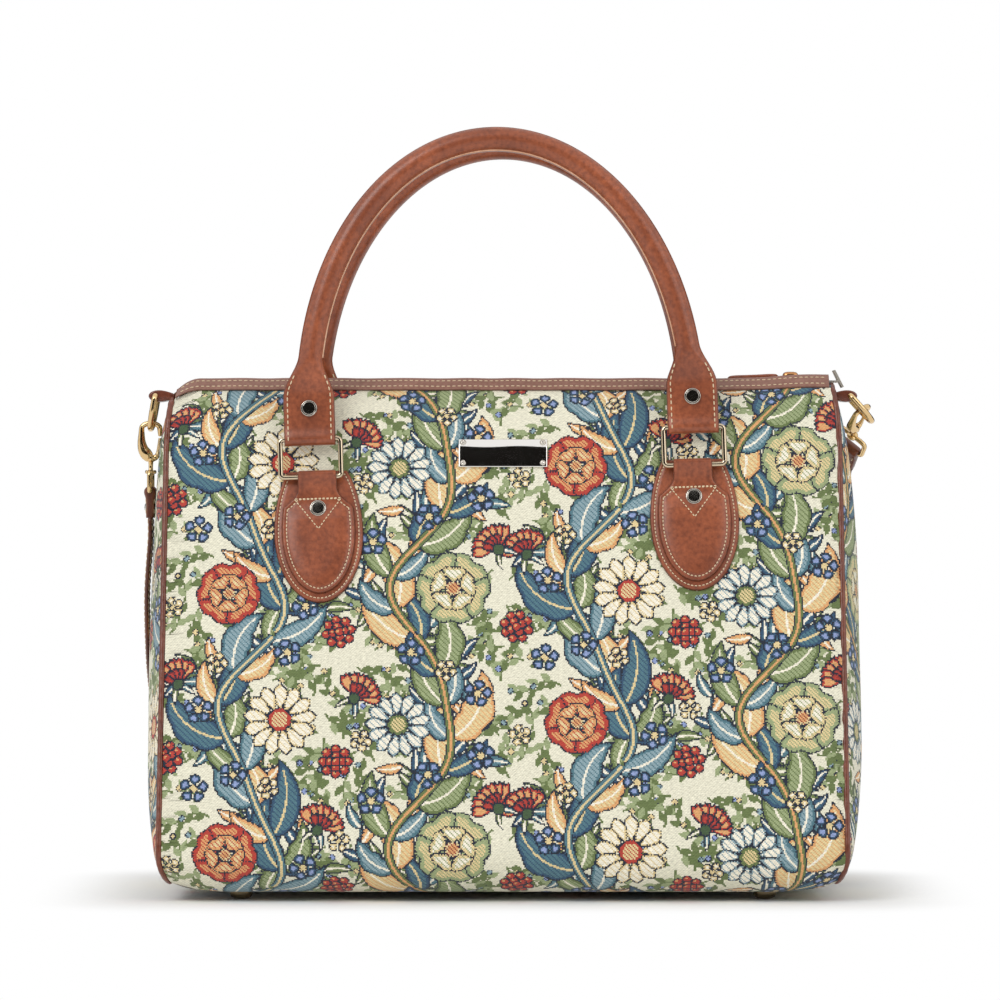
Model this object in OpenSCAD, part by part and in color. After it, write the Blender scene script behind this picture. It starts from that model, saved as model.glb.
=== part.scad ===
// Tapestry travel bag with rolled leather handles, a zip top and a clip-on shoulder strap.
// Millimetres, +Z up. The front faces -Y and the origin is on the floor midway between the feet.

/* [Body] */
// Width of the bag between its two end seams
body_w = 388; // [330:1:440]
// Depth of the bag at the base
base_depth = 196; // [170:1:230]
// Depth between the lower edges of the two zip trims
top_depth = 36; // [32:1:46]
// Height of the cloth from its underside to the zip trim
body_h = 284; // [255:1:310]
// Radius of the lower edges of the body
corner_r = 24; // [16:1:30]
// Radius of the shoulders below the zip trim
shoulder_r = 50; // [40:1:60]
// Thickness of the backed cloth
cloth_t = 2.2; // [1.8:0.1:2.6]
// How far the cloth draws in towards the end seams
seam_pinch = 5; // [3:0.5:6]
// How far the end panels swell out
end_bulge = 10; // [4:0.5:11]
// Thickness of the piping in the end seams
piping_d = 4.6; // [4:0.1:5.2]

/* [Base] */
// Height of the feet
foot_h = 5; // [4.5:0.5:7]
// Diameter of the feet
foot_d = 13; // [11:0.5:14]
// Distance between the feet along the width
foot_gap_x = 298; // [250:2:298]
// Distance between the feet along the depth
foot_gap_y = 126; // [110:1:130]
// Thickness of the board in the base
board_t = 3; // [2:0.5:4]

/* [Zip] */
// Width of the leather trim beside the zip
trim_w = 12; // [11.5:0.5:13]
// Thickness of the leather trim
trim_t = 1.6; // [1.2:0.1:2]
// Slope of the trim from upright
trim_angle = 50; // [47:1:53]
// Spacing of the zip teeth
tooth_pitch = 3; // [2.8:0.1:3.4]
// Distance of the closed slider from the end seam
slider_in = 26; // [24:1:49]
// Length of the slider
slider_l = 12; // [11:0.5:13]
// Length of the leather tag on the slider
tag_l = 24; // [20:1:28]

/* [Handle fittings] */
// Distance of the handle legs from the end seams
leg_in = 84; // [74:1:94]
// Depth of the lower bars of the rings below the zip trim
ring_drop = 47; // [43:1:64]
// Turn of the front fittings as the bag was worn in
front_skew = 1.9; // [0:0.1:2.5]
// Width of the leather patches
patch_w = 51; // [48:1:54]
// Length of the patches below the ring bar
patch_l = 73; // [68:1:78]
// Thickness of the patches
patch_t = 2; // [1.6:0.1:2.4]
// Width of the chapes
chape_w = 42; // [40:1:43]
// Width of the neck of the chapes
neck_w = 22.5; // [20:0.5:24]
// Thickness of the chapes and of the handle leather
leather_t = 2.1; // [1.8:0.1:2.3]
// Wire of the rings
ring_wire = 3; // [2.6:0.1:3.2]
// Height of the rings between the middles of their bars
ring_h = 22; // [21:0.5:25]
// Diameter of the studs
stud_d = 9.6; // [8:0.2:10]

/* [Handles] */
// Diameter of the rolled part
roll_d = 14.4; // [12:0.2:16]
// Width of the flat ends of the handles
tab_w = 29.4; // [27:0.2:31]
// Height of the straight legs above the ring bar
leg_h = 18; // [17:1:22]
// Rise of the arch above the legs
arch_rise = 152; // [135:1:165]

/* [Name plate] */
// Width of the plate
plate_w = 51; // [46:1:56]
// Height of the plate
plate_h = 17; // [15:0.5:19]
// Thickness of the plate
plate_t = 1.4; // [1.2:0.1:1.8]

/* [End fittings] */
// Depth of the bar of the D-rings below the zip trim
dee_drop = 1.5; // [1:0.5:3]
// Distance of that bar beyond the end seam
dee_out = 8; // [7.5:0.5:9]
// Wire of the D-rings
dee_wire = 3.6; // [3.2:0.1:3.8]
// Width of the D-rings between the middles of their sides
dee_w = 22.4; // [21.5:0.1:24]
// Length of the straight sides of the D-rings
dee_side = 8; // [7.5:0.5:9]

/* [Shoulder strap] */
// Width of the strap
strap_w = 16; // [14:0.5:17]
// Thickness of the strap
strap_t = 2.4; // [2:0.1:2.6]

/* [Hidden] */
$fn = 48;
gap = 0.1;
slack = 0.3;

// Section of the body as seen from an end: distance from the middle plane, then height.
z_bottom = foot_h;
z_trim = foot_h + body_h;
corner_c = [base_depth / 2 - corner_r, z_bottom + corner_r];
trim_n = [cos(trim_angle), sin(trim_angle)];
trim_e = [-sin(trim_angle), cos(trim_angle)];
shoulder_c = [top_depth / 2, z_trim] - shoulder_r * trim_n;
chord = shoulder_c - corner_c;
wall_lean = atan2(chord.y, chord.x) - acos((corner_r - shoulder_r) / norm(chord));
wall_foot = corner_c + corner_r * [cos(wall_lean), sin(wall_lean)];
function wall_d(z) = wall_foot.x - (z - wall_foot.y) * tan(wall_lean);

// An arc whose radius is drawn in by t and by a pinch that runs from p0 to p1.
function arc(c, r, a0, a1, n, t, p0, p1) =
    [for (i = [0:n]) let(f = i / n, a = a0 + (a1 - a0) * f)
        c + (r - t - p0 - (p1 - p0) * f) * [cos(a), sin(a)]];
function half(t, p) = concat(arc(corner_c, corner_r, -90, wall_lean, 8, t, p, p),
    arc(shoulder_c, shoulder_r, wall_lean, trim_angle, 6, t, p, 0));
function trim_top(t) = shoulder_c + (shoulder_r - t) * trim_n + trim_w * trim_e;
function mirror_y(pts) = [for (i = [len(pts) - 1:-1:0]) [-pts[i].x, pts[i].y]];
function wall(t, p) = concat(half(t, p), [trim_top(t)]);

// Closed outline of an end, with a low crown between the two trims.
crown = 4;
crown_r = (pow(top_depth / 2, 2) + crown * crown) / (2 * crown);
crown_z = z_trim + crown - crown_r;
function crown_pts(t) = let(d = half(t, 0)[15].x)
    [for (i = [1:5]) let(y = d - d * i / 3) [y, crown_z + sqrt(pow(crown_r - t, 2) - y * y)]];
function outline(t) = let(h = half(t, seam_pinch)) concat(mirror_y(h), h, crown_pts(t));

// Skin over rings of points. Each ring has the same count and turns left about the way along.
function skin_sides(m, n, closed) = concat(
    [for (i = [0:m - (closed ? 1 : 2)], j = [0:n - 1]) let(k = (i + 1) % m, l = (j + 1) % n)
        [i * n + j, k * n + j, i * n + l]],
    [for (i = [0:m - (closed ? 1 : 2)], j = [0:n - 1]) let(k = (i + 1) % m, l = (j + 1) % n)
        [i * n + l, k * n + j, k * n + l]]);
function round_caps(e, n) = [[for (j = [0:n - 1]) j], [for (j = [n - 1:-1:0]) e + j]];
// Caps of a folded ring, whose second half runs back along its first.
function folded_caps(e, n) = concat([for (j = [0:n / 2 - 2]) [j, j + 1, n - 2 - j, n - 1 - j]],
    [for (j = [0:n / 2 - 2]) [e + n - 1 - j, e + n - 2 - j, e + j + 1, e + j]]);
module skin(rings, closed = false, folded = false) {
    m = len(rings);
    n = len(rings[0]);
    pts = [for (r = rings, p = r) p];
    caps = closed ? [] : folded ? folded_caps((m - 1) * n, n) : round_caps((m - 1) * n, n);
    polyhedron(pts, concat(skin_sides(m, n, closed), caps), convexity = 8);
}
function unit(v) = v / norm(v);
function smooth(f) = let(g = min(max(f, 0), 1)) g * g * (3 - 2 * g);

// Body cloth.
x_end = body_w / 2 - piping_d / 2 - slack;
pinch_reach = 42;
x_flat = x_end - pinch_reach;
pinch_f = [0, 0.35, 0.65, 0.88, 1];
function pinch_at(f) = seam_pinch * (1 - sqrt(1 - f * f));
stations = concat([for (i = [4:-1:0]) [-x_flat - pinch_reach * pinch_f[i], pinch_at(pinch_f[i])]],
    [for (i = [0:4]) [x_flat + pinch_reach * pinch_f[i], pinch_at(pinch_f[i])]]);
function wall_ring(x, p) = let(o = wall(0, p), n = wall(cloth_t, p), m = len(o))
    concat([for (q = o) [x, q.x, q.y]], [for (i = [m - 1:-1:0]) [x, n[i].x, n[i].y]]);
module wall_panel() {
    color("Wheat") skin([for (s = stations) wall_ring(s.x, s.y)], folded = true);
}
module front_panel() {
    rotate([0, 0, 180]) wall_panel();
}
module rear_panel() {
    wall_panel();
}
// The seams to the base lie underneath, where the lower edges end.
base_y = corner_c.x - gap;
function base_ring(x, p) = [[x, -base_y, z_bottom + p], [x, base_y, z_bottom + p],
    [x, base_y, z_bottom + p + cloth_t], [x, -base_y, z_bottom + p + cloth_t]];
module base_panel() {
    color("Wheat") skin([for (s = stations) base_ring(s.x, s.y)]);
}

// Ends: the outline is drawn in round a low middle while it swells out.
pipe_in = 1;
end_in = pipe_in + piping_d / 2 + 0.2;
end_mid = [0, 0.4 * z_trim];
end_s = [0.04, 0.28, 0.52, 0.76, 0.9, 1];
function end_ring(s, side) = [for (q = outline(end_in)) let(r = end_mid + s * (q - end_mid))
    [body_w / 2 + end_bulge * (1 - s * s) + side * cloth_t / 2, r.x, r.y]];
module end_panel() {
    inside = [for (s = end_s) end_ring(s, -1)];
    outside = [for (i = [5:-1:0]) end_ring(end_s[i], 1)];
    color("Wheat") skin(concat(inside, outside));
}
module left_end_panel() {
    rotate([0, 0, 180]) end_panel();
}
module right_end_panel() {
    end_panel();
}
function pipe_ring(pts, i, n) = let(m = len(pts), t = unit(pts[(i + 1) % m] - pts[(i + m - 1) % m]))
    [for (k = [0:n - 1]) let(a = 360 * k / n, q = pts[i] + piping_d / 2 * cos(a) * [t.y, -t.x])
        [body_w / 2 - piping_d / 2 * sin(a), q.x, q.y]];
module piping() {
    path = outline(pipe_in);
    color("SaddleBrown") skin([for (i = [0:len(path) - 1]) pipe_ring(path, i, 8)], true);
}
module left_piping() {
    rotate([0, 0, 180]) piping();
}
module right_piping() {
    piping();
}

// Base.
board_half = x_flat + 0.2 * pinch_reach;
module base_board() {
    color("DimGray") translate([0, 0, z_bottom + cloth_t + 0.25 + board_t / 2])
        cube([2 * board_half, 2 * corner_c.x - 6, board_t], center = true);
}
module foot() {
    flat_r = 2.4;
    dome_r = foot_d / 2 - flat_r;
    dome = [for (i = [0:8]) let(a = 90 * i / 8) [flat_r + dome_r * sin(a), 0.72 * foot_h * (1 - cos(a))]];
    rotate_extrude() polygon(concat([[0, 0]], dome, [[foot_d / 2, foot_h - gap], [0, foot_h - gap]]));
}
module feet() {
    color("Silver") for (sx = [-1, 1], sy = [-1, 1])
        translate([sx * foot_gap_x / 2, sy * foot_gap_y / 2, 0]) foot();
}

// Zip, with each strip drawn in section and run along X.
module along_x(x0, x1) {
    translate([x0, 0, 0]) rotate([90, 0, 90]) linear_extrude(x1 - x0) children();
}
trim_foot = shoulder_c + shoulder_r * trim_n;
module trim() {
    a = trim_foot + gap * trim_n;
    b = a + trim_w * trim_e;
    color("SaddleBrown") along_x(-x_end, x_end)
        polygon([a, b, b + trim_t * trim_n, a + trim_t * trim_n]);
}
module front_zip_trim() {
    rotate([0, 0, 180]) trim();
}
module rear_zip_trim() {
    trim();
}
tape_t = 1;
tape_top = trim_top(cloth_t).y - 0.6;
tape_out = trim_top(cloth_t).x + 0.6 * tan(trim_angle) - 0.3;
bead_out = 2.2;
bead_in = 1.5;
tooth_tip = 0.9;
teeth_top = tape_top + 0.7;
tape_end = x_end - 6;
module tape() {
    color("Tan") along_x(-tape_end, tape_end)
        translate([bead_out + gap, tape_top - tape_t]) square([tape_out - bead_out - gap, tape_t]);
}
module front_zip_tape() {
    rotate([0, 0, 180]) tape();
}
module rear_zip_tape() {
    tape();
}
tooth_w = 0.42 * tooth_pitch;
tooth_n = floor((2 * tape_end - 2) / tooth_pitch);
row_x = tooth_n * tooth_pitch / 2;
// One row of teeth on its bead. A shift of half a pitch lets the other row mesh with it.
function teeth(shift) = concat([[row_x, bead_out], [-row_x, bead_out]],
    [for (i = [0:tooth_n - 1], k = [0:3]) let(x = -row_x + (i + shift) * tooth_pitch)
        [x + (k < 2 ? -tooth_w : tooth_w) / 2, (k == 0 || k == 3) ? bead_in : -tooth_tip]],
    [[row_x, bead_in]]);
module teeth_row(shift) {
    color("Goldenrod") translate([0, 0, teeth_top - 2.4]) linear_extrude(2.4) polygon(teeth(shift));
}
module front_zip_teeth() {
    rotate([0, 0, 180]) teeth_row(0.25);
}
module rear_zip_teeth() {
    teeth_row(0.25);
}
plate_z = teeth_top + slack;
slider_t = 1.5;
pin_r = 0.8;
slider_x = body_w / 2 - slider_in;
pull_x = slider_x - 1;
pull_z = plate_z + slider_t + 0.3 + pin_r;
bridge_gap = 2 * pin_r + 0.6;
module zip_slider() {
    color("Goldenrod") translate([slider_x, 0, plate_z]) {
        linear_extrude(slider_t) polygon([[-slider_l / 2, -3.4], [slider_l / 2, -4.4], [slider_l / 2, 4.4],
            [-slider_l / 2, 3.4]]);
        for (s = [-1, 1]) translate([-slider_l / 2 + 0.4, s * 2.9 - 0.45, tape_top + slack - plate_z])
            cube([slider_l - 0.8, 0.9, plate_z - tape_top]);
        translate([0, 1.2, slider_t]) rotate([90, 0, 0]) linear_extrude(2.4) difference() {
            polygon([[-5, -0.2], [5, -0.2], [4, bridge_gap + 1.2], [-4, bridge_gap + 1.2]]);
            polygon([[-3.4, 0], [3.4, 0], [2.8, bridge_gap], [-2.8, bridge_gap]]);
        }
    }
}
// The pull lies along -X from its pin and droops a little onto the teeth.
pull_droop = 2;
link_l = 12;
module at_pull() {
    translate([pull_x, 0, pull_z]) rotate([0, -pull_droop, 0]) children();
}
module zip_link() {
    color("Goldenrod") at_pull() {
        rotate([90, 0, 0]) cylinder(r = pin_r, h = 7, center = true);
        for (s = [-1, 1]) translate([-link_l, s * 2.8 - 0.7, -0.7]) cube([link_l, 1.4, 1.4]);
        translate([-link_l - 1.5, -3.5, -0.7]) cube([2.2, 7, 1.4]);
    }
}
module zip_tag() {
    tag_w = 9;
    color("SaddleBrown") at_pull() difference() {
        translate([-link_l - tag_l + 5, 0, -1.5]) linear_extrude(3) union() {
            circle(d = tag_w);
            translate([0, -tag_w / 2]) square([tag_l - 6.5, tag_w]);
            translate([tag_l - 6.6, -1.9]) square([2.6, 3.8]);
        }
        translate([-link_l - 1.5 - gap, -5, -0.7 - gap]) cube([2.2 + 2 * gap, 10, 1.4 + 2 * gap]);
    }
}
// Sheet metal clip crimped over the end of the zip and leaning out over the seam.
clip_w = 11;
module zip_end_clip() {
    x = body_w / 2;
    z = plate_z;
    color("Silver") translate([0, clip_w / 2, 0]) rotate([90, 0, 0]) linear_extrude(clip_w)
        polygon([[x - 9, z], [x + 1.6, z], [x + 3.3, z - 3], [x + 4.5, z - 2.6], [x - 0.6, z + 7.4],
            [x - 1.8, z + 7], [x + 0.9, z + 1.2], [x - 9, z + 1.2]]);
}

ring_z = z_trim - ring_drop;
// Front face: a frame on the leaning wall, with local Z up the wall and -Y out of it.
module on_wall(z, skew) {
    translate([0, -wall_d(z), z]) rotate([-wall_lean, 0, 0]) rotate([0, -skew, 0]) children();
}
module front_set() {
    on_wall(ring_z, front_skew) children();
}
module rear_set() {
    rotate([0, 0, 180]) on_wall(ring_z, 0) children();
}
module flat(y, t) {
    translate([0, -y, 0]) rotate([90, 0, 0]) linear_extrude(t) children();
}
plate_up = 12.2;
module name_plate() {
    color("DimGray") on_wall(ring_z, 0) translate([0, 0, plate_up]) flat(gap, plate_t) difference() {
        square([plate_w, plate_h], center = true);
        for (sx = [-1, 1], sy = [-1, 1])
            translate([sx * (plate_w / 2 - 3), sy * (plate_h / 2 - 3)]) circle(r = 1);
    }
}
module plate_screws() {
    color("Silver") on_wall(ring_z, 0) translate([0, 0, plate_up])
        for (sx = [-1, 1], sy = [-1, 1])
            translate([sx * (plate_w / 2 - 3), 0, sy * (plate_h / 2 - 3)]) {
                flat(gap, plate_t) circle(r = 0.9);
                translate([0, -plate_t - 2 * gap, 0]) rotate([90, 0, 0])
                    cylinder(r1 = 1.7, r2 = 1.2, h = 0.7);
            }
}
leg_x = body_w / 2 - leg_in;
bar_r = ring_wire / 2;
barrel_r = bar_r + 0.2 + leather_t;
chape_y = gap + patch_t + gap;
bar_y = chape_y + barrel_r;
mid_z = -0.44 * patch_l;
low_b = patch_l + mid_z;
up_b = 50;
function oval(hw, b, a0, a1, n) = [for (i = [0:n]) let(a = a0 + (a1 - a0) * i / n)
    [hw * cos(a), mid_z + (a < 0 || a > 180 ? b : up_b) * sin(a)]];
patch_top = asin((5 - mid_z) / up_b);
module patch() {
    color("Sienna") flat(gap, patch_t) polygon(oval(patch_w / 2, low_b, -180 - patch_top, patch_top, 40));
}
// The chape narrows from its shield to the neck by a hollow curve.
neck_z = -6.5;
flare_z = -17;
flare_a = asin((flare_z - mid_z) / up_b);
flare_x = chape_w / 2 * cos(flare_a);
function flare(s) = [for (i = [1:7]) let(f = i / 7)
    [s * (neck_w / 2 + (flare_x - neck_w / 2) * (1 - sin(90 * f))), flare_z + (neck_z - flare_z) * f]];
module shield() {
    right = flare(1);
    left = flare(-1);
    low = oval(chape_w / 2, low_b - 5, -180 - flare_a, flare_a, 36);
    polygon(concat(low, right, [for (i = [6:-1:0]) left[i]]));
}
module chape() {
    color("Sienna") difference() {
        union() {
            flat(chape_y, leather_t) shield();
            hull() {
                translate([0, -bar_y, 0]) rotate([0, 90, 0])
                    cylinder(r = barrel_r, h = neck_w, center = true);
                translate([-neck_w / 2, -chape_y - leather_t, flare_z + 3]) cube([neck_w, leather_t, 4]);
            }
        }
        translate([0, -bar_y, 0]) rotate([0, 90, 0])
            cylinder(r = bar_r + 0.2, h = neck_w + 2, center = true);
    }
}
// Domed stud with a turned rim, standing out along -Y.
module stud() {
    r = stud_d / 2;
    dome = [for (i = [0:6]) let(a = 90 * i / 6) [0.73 * r * cos(a), r * (0.21 + 0.23 * sin(a))]];
    rim = [[0, 0], [r, 0], [r, 0.21 * r], [0.9 * r, 0.29 * r], [0.77 * r, 0.29 * r]];
    rotate([90, 0, 0]) rotate_extrude() polygon(concat(rim, dome));
}
stud_z = -0.25 * patch_l;
// How far the left and the right chape have slid along their rings.
front_slide = [3.5, -1.2];
rear_slide = [0, 0];
module chape_studs(slide) {
    color("Silver") for (i = [0, 1])
        translate([(2 * i - 1) * leg_x + slide[i], -chape_y - leather_t - gap, stud_z]) stud();
}
// Rectangular ring on its lower bar, which lies along X.
ring_w = tab_w + ring_wire + 2.2;
ring_c = 2.2;
module ring() {
    color("Gold") {
        for (z = [0, ring_h]) translate([0, 0, z]) rotate([0, 90, 0])
            cylinder(r = bar_r, h = ring_w - 2 * ring_c, center = true);
        for (s = [-1, 1]) translate([s * ring_w / 2, 0, ring_c])
            cylinder(r = bar_r, h = ring_h - 2 * ring_c);
        for (sx = [-1, 1], sz = [-1, 1])
            translate([sx * (ring_w / 2 - ring_c), 0, sz > 0 ? ring_h - ring_c : ring_c])
                rotate([90, (sx > 0 ? (sz > 0 ? 0 : 90) : (sz > 0 ? -90 : 180)), 0])
                    rotate_extrude(angle = 90) translate([ring_c, 0]) circle(r = bar_r);
    }
}
// The rings stand nearly upright and the handles lean a little over the bag.
ring_lean = 6;
handle_lean = 4.3;
module on_ring() {
    translate([0, -bar_y, 0]) rotate([wall_lean - ring_lean, 0, 0]) children();
}
module on_handle() {
    on_ring() translate([0, 0, ring_h]) rotate([ring_lean - handle_lean, 0, 0]) children();
}
// Rolled handle: a round section along a half ellipse that flattens into a tab at each leg.
tab_t = 2 * leather_t;
flat_z = leg_h + 6;
round_z = leg_h + 29;
arch_a = concat([1.5, 3, 4.6, 6.2, 7.8, 9.4, 11.4], [for (i = [0:16]) 16 + 148 * i / 16],
    [168.6, 170.6, 172.2, 173.8, 175.4, 177, 178.5]);
function arch_pos(a) = [leg_x * cos(a), leg_h + arch_rise * sin(a)];
function arch_dir(a) = unit([-leg_x * sin(a), arch_rise * cos(a)]);
handle_path = concat([for (z = [bar_r + 0.7, 10, leg_h]) [[leg_x, z], [0, 1]]],
    [for (a = arch_a) [arch_pos(a), arch_dir(a)]],
    [for (z = [leg_h, 10, bar_r + 0.7]) [[-leg_x, z], [0, -1]]]);
function rounded(v, p) = sign(v) * pow(abs(v), p);
function handle_ring(st) = let(f = smooth((st[0].y - flat_z) / (round_z - flat_z)), d = st[1],
        hx = tab_w / 2 + (roll_d - tab_w) / 2 * f, hy = tab_t / 2 + (roll_d - tab_t) / 2 * f,
        p = 0.3 + 0.7 * f)
    [for (k = [0:19]) let(a = 9 + 18 * k, u = hx * rounded(cos(a), p), v = hy * rounded(sin(a), p))
        [st[0].x + u * d.y, v, st[0].y - u * d.x]];
module handle() {
    color("Sienna") {
        skin([for (st = handle_path) handle_ring(st)]);
        for (s = [-1, 1]) translate([s * leg_x, 0, 0]) rotate([0, 90, 0]) difference() {
            cylinder(r = barrel_r, h = tab_w, center = true);
            cylinder(r = bar_r + 0.2, h = tab_w + 2, center = true);
        }
    }
}
module handle_studs() {
    color("Silver") for (s = [-1, 1]) translate([s * leg_x, -tab_t / 2 - gap, 0.97 * leg_h]) stud();
}
module front_left_patch() {
    front_set() translate([front_slide[0] - leg_x, 0, 0]) patch();
}
module front_right_patch() {
    front_set() translate([front_slide[1] + leg_x, 0, 0]) patch();
}
module front_left_chape() {
    front_set() translate([front_slide[0] - leg_x, 0, 0]) chape();
}
module front_right_chape() {
    front_set() translate([front_slide[1] + leg_x, 0, 0]) chape();
}
module front_chape_studs() {
    front_set() chape_studs(front_slide);
}
module front_left_ring() {
    front_set() on_ring() translate([-leg_x, 0, 0]) ring();
}
module front_right_ring() {
    front_set() on_ring() translate([leg_x, 0, 0]) ring();
}
module front_handle() {
    front_set() on_handle() handle();
}
module front_handle_studs() {
    front_set() on_handle() handle_studs();
}
module rear_left_patch() {
    rear_set() translate([leg_x, 0, 0]) patch();
}
module rear_right_patch() {
    rear_set() translate([-leg_x, 0, 0]) patch();
}
module rear_left_chape() {
    rear_set() translate([leg_x, 0, 0]) chape();
}
module rear_right_chape() {
    rear_set() translate([-leg_x, 0, 0]) chape();
}
module rear_chape_studs() {
    rear_set() chape_studs(rear_slide);
}
module rear_left_ring() {
    rear_set() on_ring() translate([leg_x, 0, 0]) ring();
}
module rear_right_ring() {
    rear_set() on_ring() translate([-leg_x, 0, 0]) ring();
}
module rear_handle() {
    rear_set() on_handle() handle();
}
module rear_handle_studs() {
    rear_set() on_handle() handle_studs();
}

// Ends: a folded leather tab holds the straight bar of a D-ring.
dee_r = dee_wire / 2;
dee_bend = 2.4;
dee_x = body_w / 2 + dee_out;
dee_z = z_trim - dee_drop;
tab_r = dee_r + 0.2 + 2;
tab_y = dee_w - 2 * dee_bend - 0.4;
module end_tab() {
    color("Sienna") translate([dee_x, 0, dee_z]) rotate([90, 0, 0]) difference() {
        union() {
            cylinder(r = tab_r, h = tab_y, center = true);
            translate([-dee_out + cloth_t / 2 + 1.5, -1.6, -tab_y / 2])
                cube([dee_out - cloth_t / 2 - 2, 4.4, tab_y]);
        }
        cylinder(r = dee_r + 0.2, h = tab_y + 2, center = true);
    }
}
module left_tab() {
    rotate([0, 0, 180]) end_tab();
}
module right_tab() {
    end_tab();
}
// D-ring with its straight bar along Y and its bow down -Z.
module dee() {
    r = dee_w / 2;
    color("Gold") {
        rotate([90, 0, 0]) cylinder(r = dee_r, h = dee_w - 2 * dee_bend, center = true);
        for (s = [-1, 1]) translate([0, s * r, -dee_side]) cylinder(r = dee_r, h = dee_side - dee_bend);
        for (s = [0, 180]) rotate([0, 0, s]) translate([0, r - dee_bend, -dee_bend]) rotate([90, 0, 90])
            rotate_extrude(angle = 90) translate([dee_bend, 0]) circle(r = dee_r);
        translate([0, 0, -dee_side]) rotate([90, 180, 90])
            rotate_extrude(angle = 180) translate([r, 0]) circle(r = dee_r);
    }
}
left_hang = 10;
right_hang = 42;
module at_left_dee() {
    translate([-dee_x, 0, dee_z]) rotate([0, left_hang, 0]) children();
}
module at_right_dee() {
    translate([dee_x, 0, dee_z]) rotate([0, -right_hang, 0]) children();
}
module left_dee() {
    at_left_dee() dee();
}
module right_dee() {
    at_right_dee() dee();
}

// Snap hook: its frame has the wire of the D-ring at the origin and the strap down -Z.
dee_low = dee_side + dee_w / 2;
left_at = [-dee_x - dee_low * sin(left_hang), 0, dee_z - dee_low * cos(left_hang)];
right_turn = 20;
right_u = [sin(right_hang), 0, -cos(right_hang)];
right_in = [-cos(right_hang), 0, -sin(right_hang)];
right_out = cos(right_turn) * [0, 1, 0] + sin(right_turn) * right_u;
right_at = [dee_x, 0, dee_z] + dee_w / 2 * right_out + dee_side * right_u;
right_h = unit(0.85 * right_out + 0.45 * right_in);
right_r = cos(right_turn) * right_u - sin(right_turn) * [0, 1, 0];
right_q = cross(right_r, right_h);
right_y = cross(-right_h, right_q);
module at_left_hook() {
    translate(left_at) children();
}
module at_right_hook() {
    multmatrix([[right_q.x, right_y.x, -right_h.x, right_at.x],
        [right_q.y, right_y.y, -right_h.y, right_at.y],
        [right_q.z, right_y.z, -right_h.z, right_at.z], [0, 0, 0, 1]]) children();
}
bow_r = 1.4;
bow_top = dee_r + slack + bow_r;
bow_w = 5.3;
bow_low = -16.5;
hook_neck = -19;
hook_end = -24;
// Way along the bow from its nose, over the top and down the closed side, with the wire's radius.
bow_path = concat([[bow_w, -4.5, 1.1], [bow_w, -2.2, 1.2]],
    [for (i = [0:8]) let(a = 180 * i / 8) [bow_w * cos(a), (bow_top) * sin(a), bow_r]],
    [[-bow_w, -4, 1.5], [-bow_w, -8, 1.7], [-4.9, -12, 2], [-3.4, -15, 2.3], [-1.6, -16.6, 2.4],
        [-0.4, -17, 2.3]]);
function bow_ring(i) = let(n = len(bow_path), a = bow_path[max(i - 1, 0)], b = bow_path[min(i + 1, n - 1)],
        p = bow_path[i], t = unit([b.x - a.x, b.y - a.y]))
    [for (k = [0:9]) let(g = 36 * k, u = p.z * cos(g)) [p.x + u * t.y, p.z * sin(g), p.y - u * t.x]];
gate_z = -14.8;
gate_x = 2.6;
module hook() {
    color("Gold") {
        skin([for (i = [0:len(bow_path) - 1]) bow_ring(i)]);
        translate([0, 0, hook_neck]) cylinder(r = 2.7, h = 4);
        translate([0, 0, hook_end - 2.4]) cylinder(r = 1.3, h = hook_neck - hook_end + 3);
        translate([0, 0, hook_end - 3.4]) cylinder(r = 2.1, h = 1.2);
    }
}
// Sprung gate from its pin at the foot of the hook up to the nose.
module gate() {
    color("Silver") translate([gate_x + 1.4, 0, gate_z]) {
        rotate([90, 0, 0]) cylinder(r = 0.9, h = 4.4, center = true);
        translate([-0.9, -1.1, 0]) rotate([0, 7.5, 0]) cube([1.8, 2.2, 8.9]);
    }
}
// Swivel eye on the foot of the hook, turned about the hook's length.
eye_in = strap_w + 1;
eye_drop = 13;
eye_r = 1.5;
eye_turn = [90, 100];
module eye() {
    color("Gold") {
        translate([0, 0, hook_end - 2]) difference() {
            translate([-eye_in / 2 - 2.6, -2.6, 0]) cube([eye_in + 5.2, 5.2, 1.7]);
            translate([0, 0, -1]) cylinder(r = 1.4, h = 4);
        }
        for (s = [-1, 1]) translate([s * (eye_in / 2 + 1.3), 0, hook_end - eye_drop]) {
            translate([-1.3, -1.3, 0]) cube([2.6, 2.6, eye_drop - 1.5]);
        }
        translate([0, 0, hook_end - eye_drop]) rotate([0, 90, 0])
            cylinder(r = eye_r, h = eye_in + 5.2, center = true);
    }
}
fold_r = eye_r + 0.2 + 1.9;
fold_l = 15;
module strap_end() {
    translate([0, 0, hook_end - eye_drop]) {
        color("Sienna") difference() {
            union() {
                rotate([0, 90, 0]) cylinder(r = fold_r, h = strap_w, center = true);
                translate([-strap_w / 2, -strap_t, -fold_l])
                    cube([strap_w, 2 * strap_t, fold_l - eye_r - 0.5]);
            }
            rotate([0, 90, 0]) cylinder(r = eye_r + 0.2, h = strap_w + 2, center = true);
        }
        color("Silver") for (s = [0, 180]) rotate([0, 0, s]) translate([0, -strap_t + 0.2, -9])
            rotate([90, 0, 0]) cylinder(r1 = 3, r2 = 2.2, h = 1);
    }
}
module left_hook() {
    at_left_hook() hook();
}
module right_hook() {
    at_right_hook() hook();
}
module left_gate() {
    at_left_hook() gate();
}
module right_gate() {
    at_right_hook() gate();
}
module left_eye() {
    at_left_hook() rotate([0, 0, eye_turn[0]]) eye();
}
module right_eye() {
    at_right_hook() rotate([0, 0, eye_turn[1]]) eye();
}
module left_strap_end() {
    at_left_hook() rotate([0, 0, eye_turn[0]]) strap_end();
}
module right_strap_end() {
    at_right_hook() rotate([0, 0, eye_turn[1]]) strap_end();
}

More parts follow.
